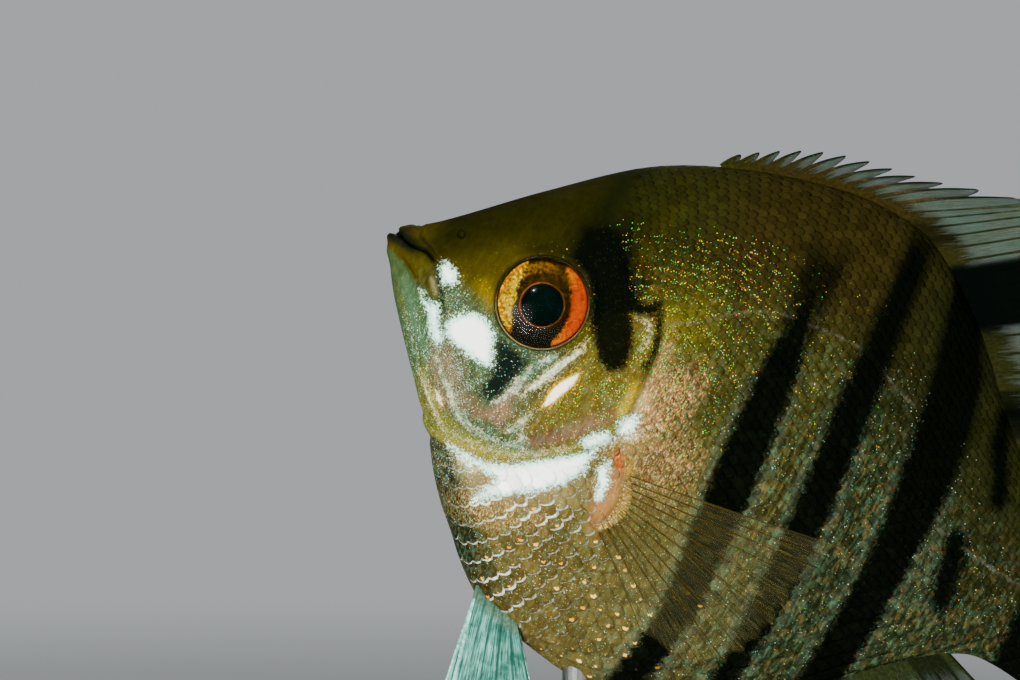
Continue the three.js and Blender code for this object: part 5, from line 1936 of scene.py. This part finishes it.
def makeWoodMaterial():
    constants = {"Specular IOR Level": 0.45, "Coat Weight": 0.25, "Coat Roughness": 0.2}
    material, tree, shader = newMaterial("standWood", constants)
    place = addNode(tree, "TexCoord").outputs["Object"]
    long = vectorCalc("MULTIPLY", place, (14, 160, 160))
    grain = noiseOf(long, 3.0, 6, 0.65, 0.6)
    fine = noiseOf(vectorCalc("MULTIPLY", place, (60, 1400, 1400)), 1.0, 3, 0.6)
    color = rampOf(
        grain, (0.3, (34, 20, 12)), (0.46, (66, 40, 24)), (0.58, (92, 58, 34)),
        (0.75, (52, 31, 19)),
    )
    color = mixColor(rangeOf(fine, 0.5, 0.8, 0, 0.5), color, colorOf(22, 12, 8))
    link(color, shader["Base Color"])
    link(rangeOf(fine, 0.3, 0.8, 0.32, 0.52), shader["Roughness"])
    link(bumped(fine, 0.25, 0.0002), shader["Normal"])
    return material


def makeSteelMaterial():
    material, tree, shader = newMaterial("standSteel", {"Metallic": 1.0})
    place = addNode(tree, "TexCoord").outputs["Object"]
    brushed = noiseOf(vectorCalc("MULTIPLY", place, (900, 900, 12)), 1.0, 4, 0.6)
    link(rampOf(brushed, (0.3, (150, 150, 148)), (0.7, (198, 198, 194))), shader["Base Color"])
    link(rangeOf(brushed, 0.3, 0.7, 0.2, 0.36), shader["Roughness"])
    link(bumped(brushed, 0.1, 0.0001), shader["Normal"])
    return material


def dressNode(name, material):
    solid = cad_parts[name]
    if not solid.material_slots:
        solid.data.materials.append(material)
    for holder in solid.material_slots:
        holder.material = material


# floor, light and camera

studio = dict(
    floorRadius=1.4, fadeFrom=0.5, floor=(224, 226, 224), backdrop=(0.42, 0.44, 0.45),
    glow=(0.14, 0.15, 0.15),
    aim=(0, 0, 0.09),  # every lamp's
    matt=("key", "low", "fill"),  # lamps that leave no glint
    lamps=dict(
        key=dict(at=(-0.26, -0.42, 0.13), size=(0.2, 0.16), power=5.0),
        low=dict(at=(-0.15, -0.40, 0.035), size=(0.2, 0.05), power=1.3),
        fill=dict(at=(0.34, -0.46, 0.24), size=(0.4, 0.4), power=1.6),
        top=dict(at=(0.05, 0.05, 0.62), size=(0.5, 0.4), power=1.4),
        back=dict(at=(0.25, 0.6, 0.35), size=(0.5, 0.5), power=2.4),
        spark=dict(
            at=(fishPlace.x / 1000 - 0.122, -0.45, fishPlace.z / 1000 + 0.204), size=(0.024, 0.024),
            power=0.8,
        ),
    ),
)


def makeStudio():
    shape = bmesh.new()
    bmesh.ops.create_circle(shape, cap_ends=True, radius=studio["floorRadius"], segments=96)
    mesh = bpy.data.meshes.new("floor")
    shape.to_mesh(mesh)
    shape.free()
    floor = bpy.data.objects.new("floor", mesh)
    bpy.context.scene.collection.objects.link(floor)
    material, tree, shader = newMaterial("paleFloor", {"Roughness": 0.7, "Specular IOR Level": 0.2})
    place = addNode(tree, "TexCoord").outputs["Object"]
    away = measured("LENGTH", place)
    cloth = noiseOf(place, 40, 3)
    color = mixColor(cloth, colorOf(*studio["floor"]), colorOf(216, 219, 218))
    link(color, shader["Base Color"])
    link(rangeOf(away, studio["floorRadius"] * 0.96, studio["fadeFrom"]), shader["Alpha"])
    mesh.materials.append(material)
    for name, lamp in studio["lamps"].items():
        light = bpy.data.lights.new(name, "AREA")
        light.shape = "RECTANGLE"
        light.size, light.size_y = lamp["size"]
        light.energy = lamp["power"]
        holder = bpy.data.objects.new(name, light)
        holder.location = lamp["at"]
        aim = Vector(studio["aim"]) - holder.location
        holder.rotation_euler = aim.to_track_quat("-Z", "Y").to_euler()
        holder.visible_camera = False
        holder.visible_glossy = name not in studio["matt"]
        bpy.context.scene.collection.objects.link(holder)
    world = bpy.data.worlds.new("studio")
    bpy.context.scene.world = world
    world.use_nodes = True
    # the backdrop is seen paler than the light it gives
    tree = world.node_tree
    background = tree.nodes["Background"]
    seen = addNode(tree, "LightPath").outputs["Is Camera Ray"]
    color = mixColor(seen, (*studio["glow"], 1), (*studio["backdrop"], 1))
    link(color, background.inputs["Color"])


camera = dict(distance=450.0, across=102.0, right=12.0, down=9.7, depth=4.0, sensor=36, near=0.01)


def makeCamera():
    view = bpy.data.objects.new("camera", bpy.data.cameras.new("camera"))
    bpy.context.scene.collection.objects.link(view)
    place = Vector((fishPlace.x + camera["right"], -camera["distance"], fishPlace.z - camera["down"]))
    view.location = place / 1000
    view.rotation_euler = (math.pi / 2, 0, 0)
    view.data.lens = camera["sensor"] * (camera["distance"] - camera["depth"]) / camera["across"]
    view.data.clip_start = camera["near"]
    bpy.context.scene.camera = view


def makeFish():
    glitter = makeGlitterGroup()
    finish = makeFishGroup(glitter)
    makeSkin(makeSkinMaterial(finish))
    scaleMaterial = makeScaleMaterial(finish)
    roots = bodyRoots()
    for side, word in ((-1, "left"), (1, "right")):
        makeScales(f"scales_{word}", side, roots, scaleMaterial, bodyScales, 7 + side)
    makeEyes()
    webs, rods = makeWebGroup(), makeRayGroup()
    makeFins(
        makeWebMaterial("finWeb", webs, webLook), makeRayMaterial("finRay", rods, rayLook),
        makeWebMaterial("clearWeb", webs, clearLook), makeRayMaterial("clearRay", rods, clearRayLook),
        makeWebMaterial("blueWeb", webs, blueLook), makeRayMaterial("blueRay", rods, blueRayLook),
    )


makeCamera()
makeStudio()
makeFish()
dressNode("stand_base", makeWoodMaterial())
dressNode("stand_rod", makeSteelMaterial())
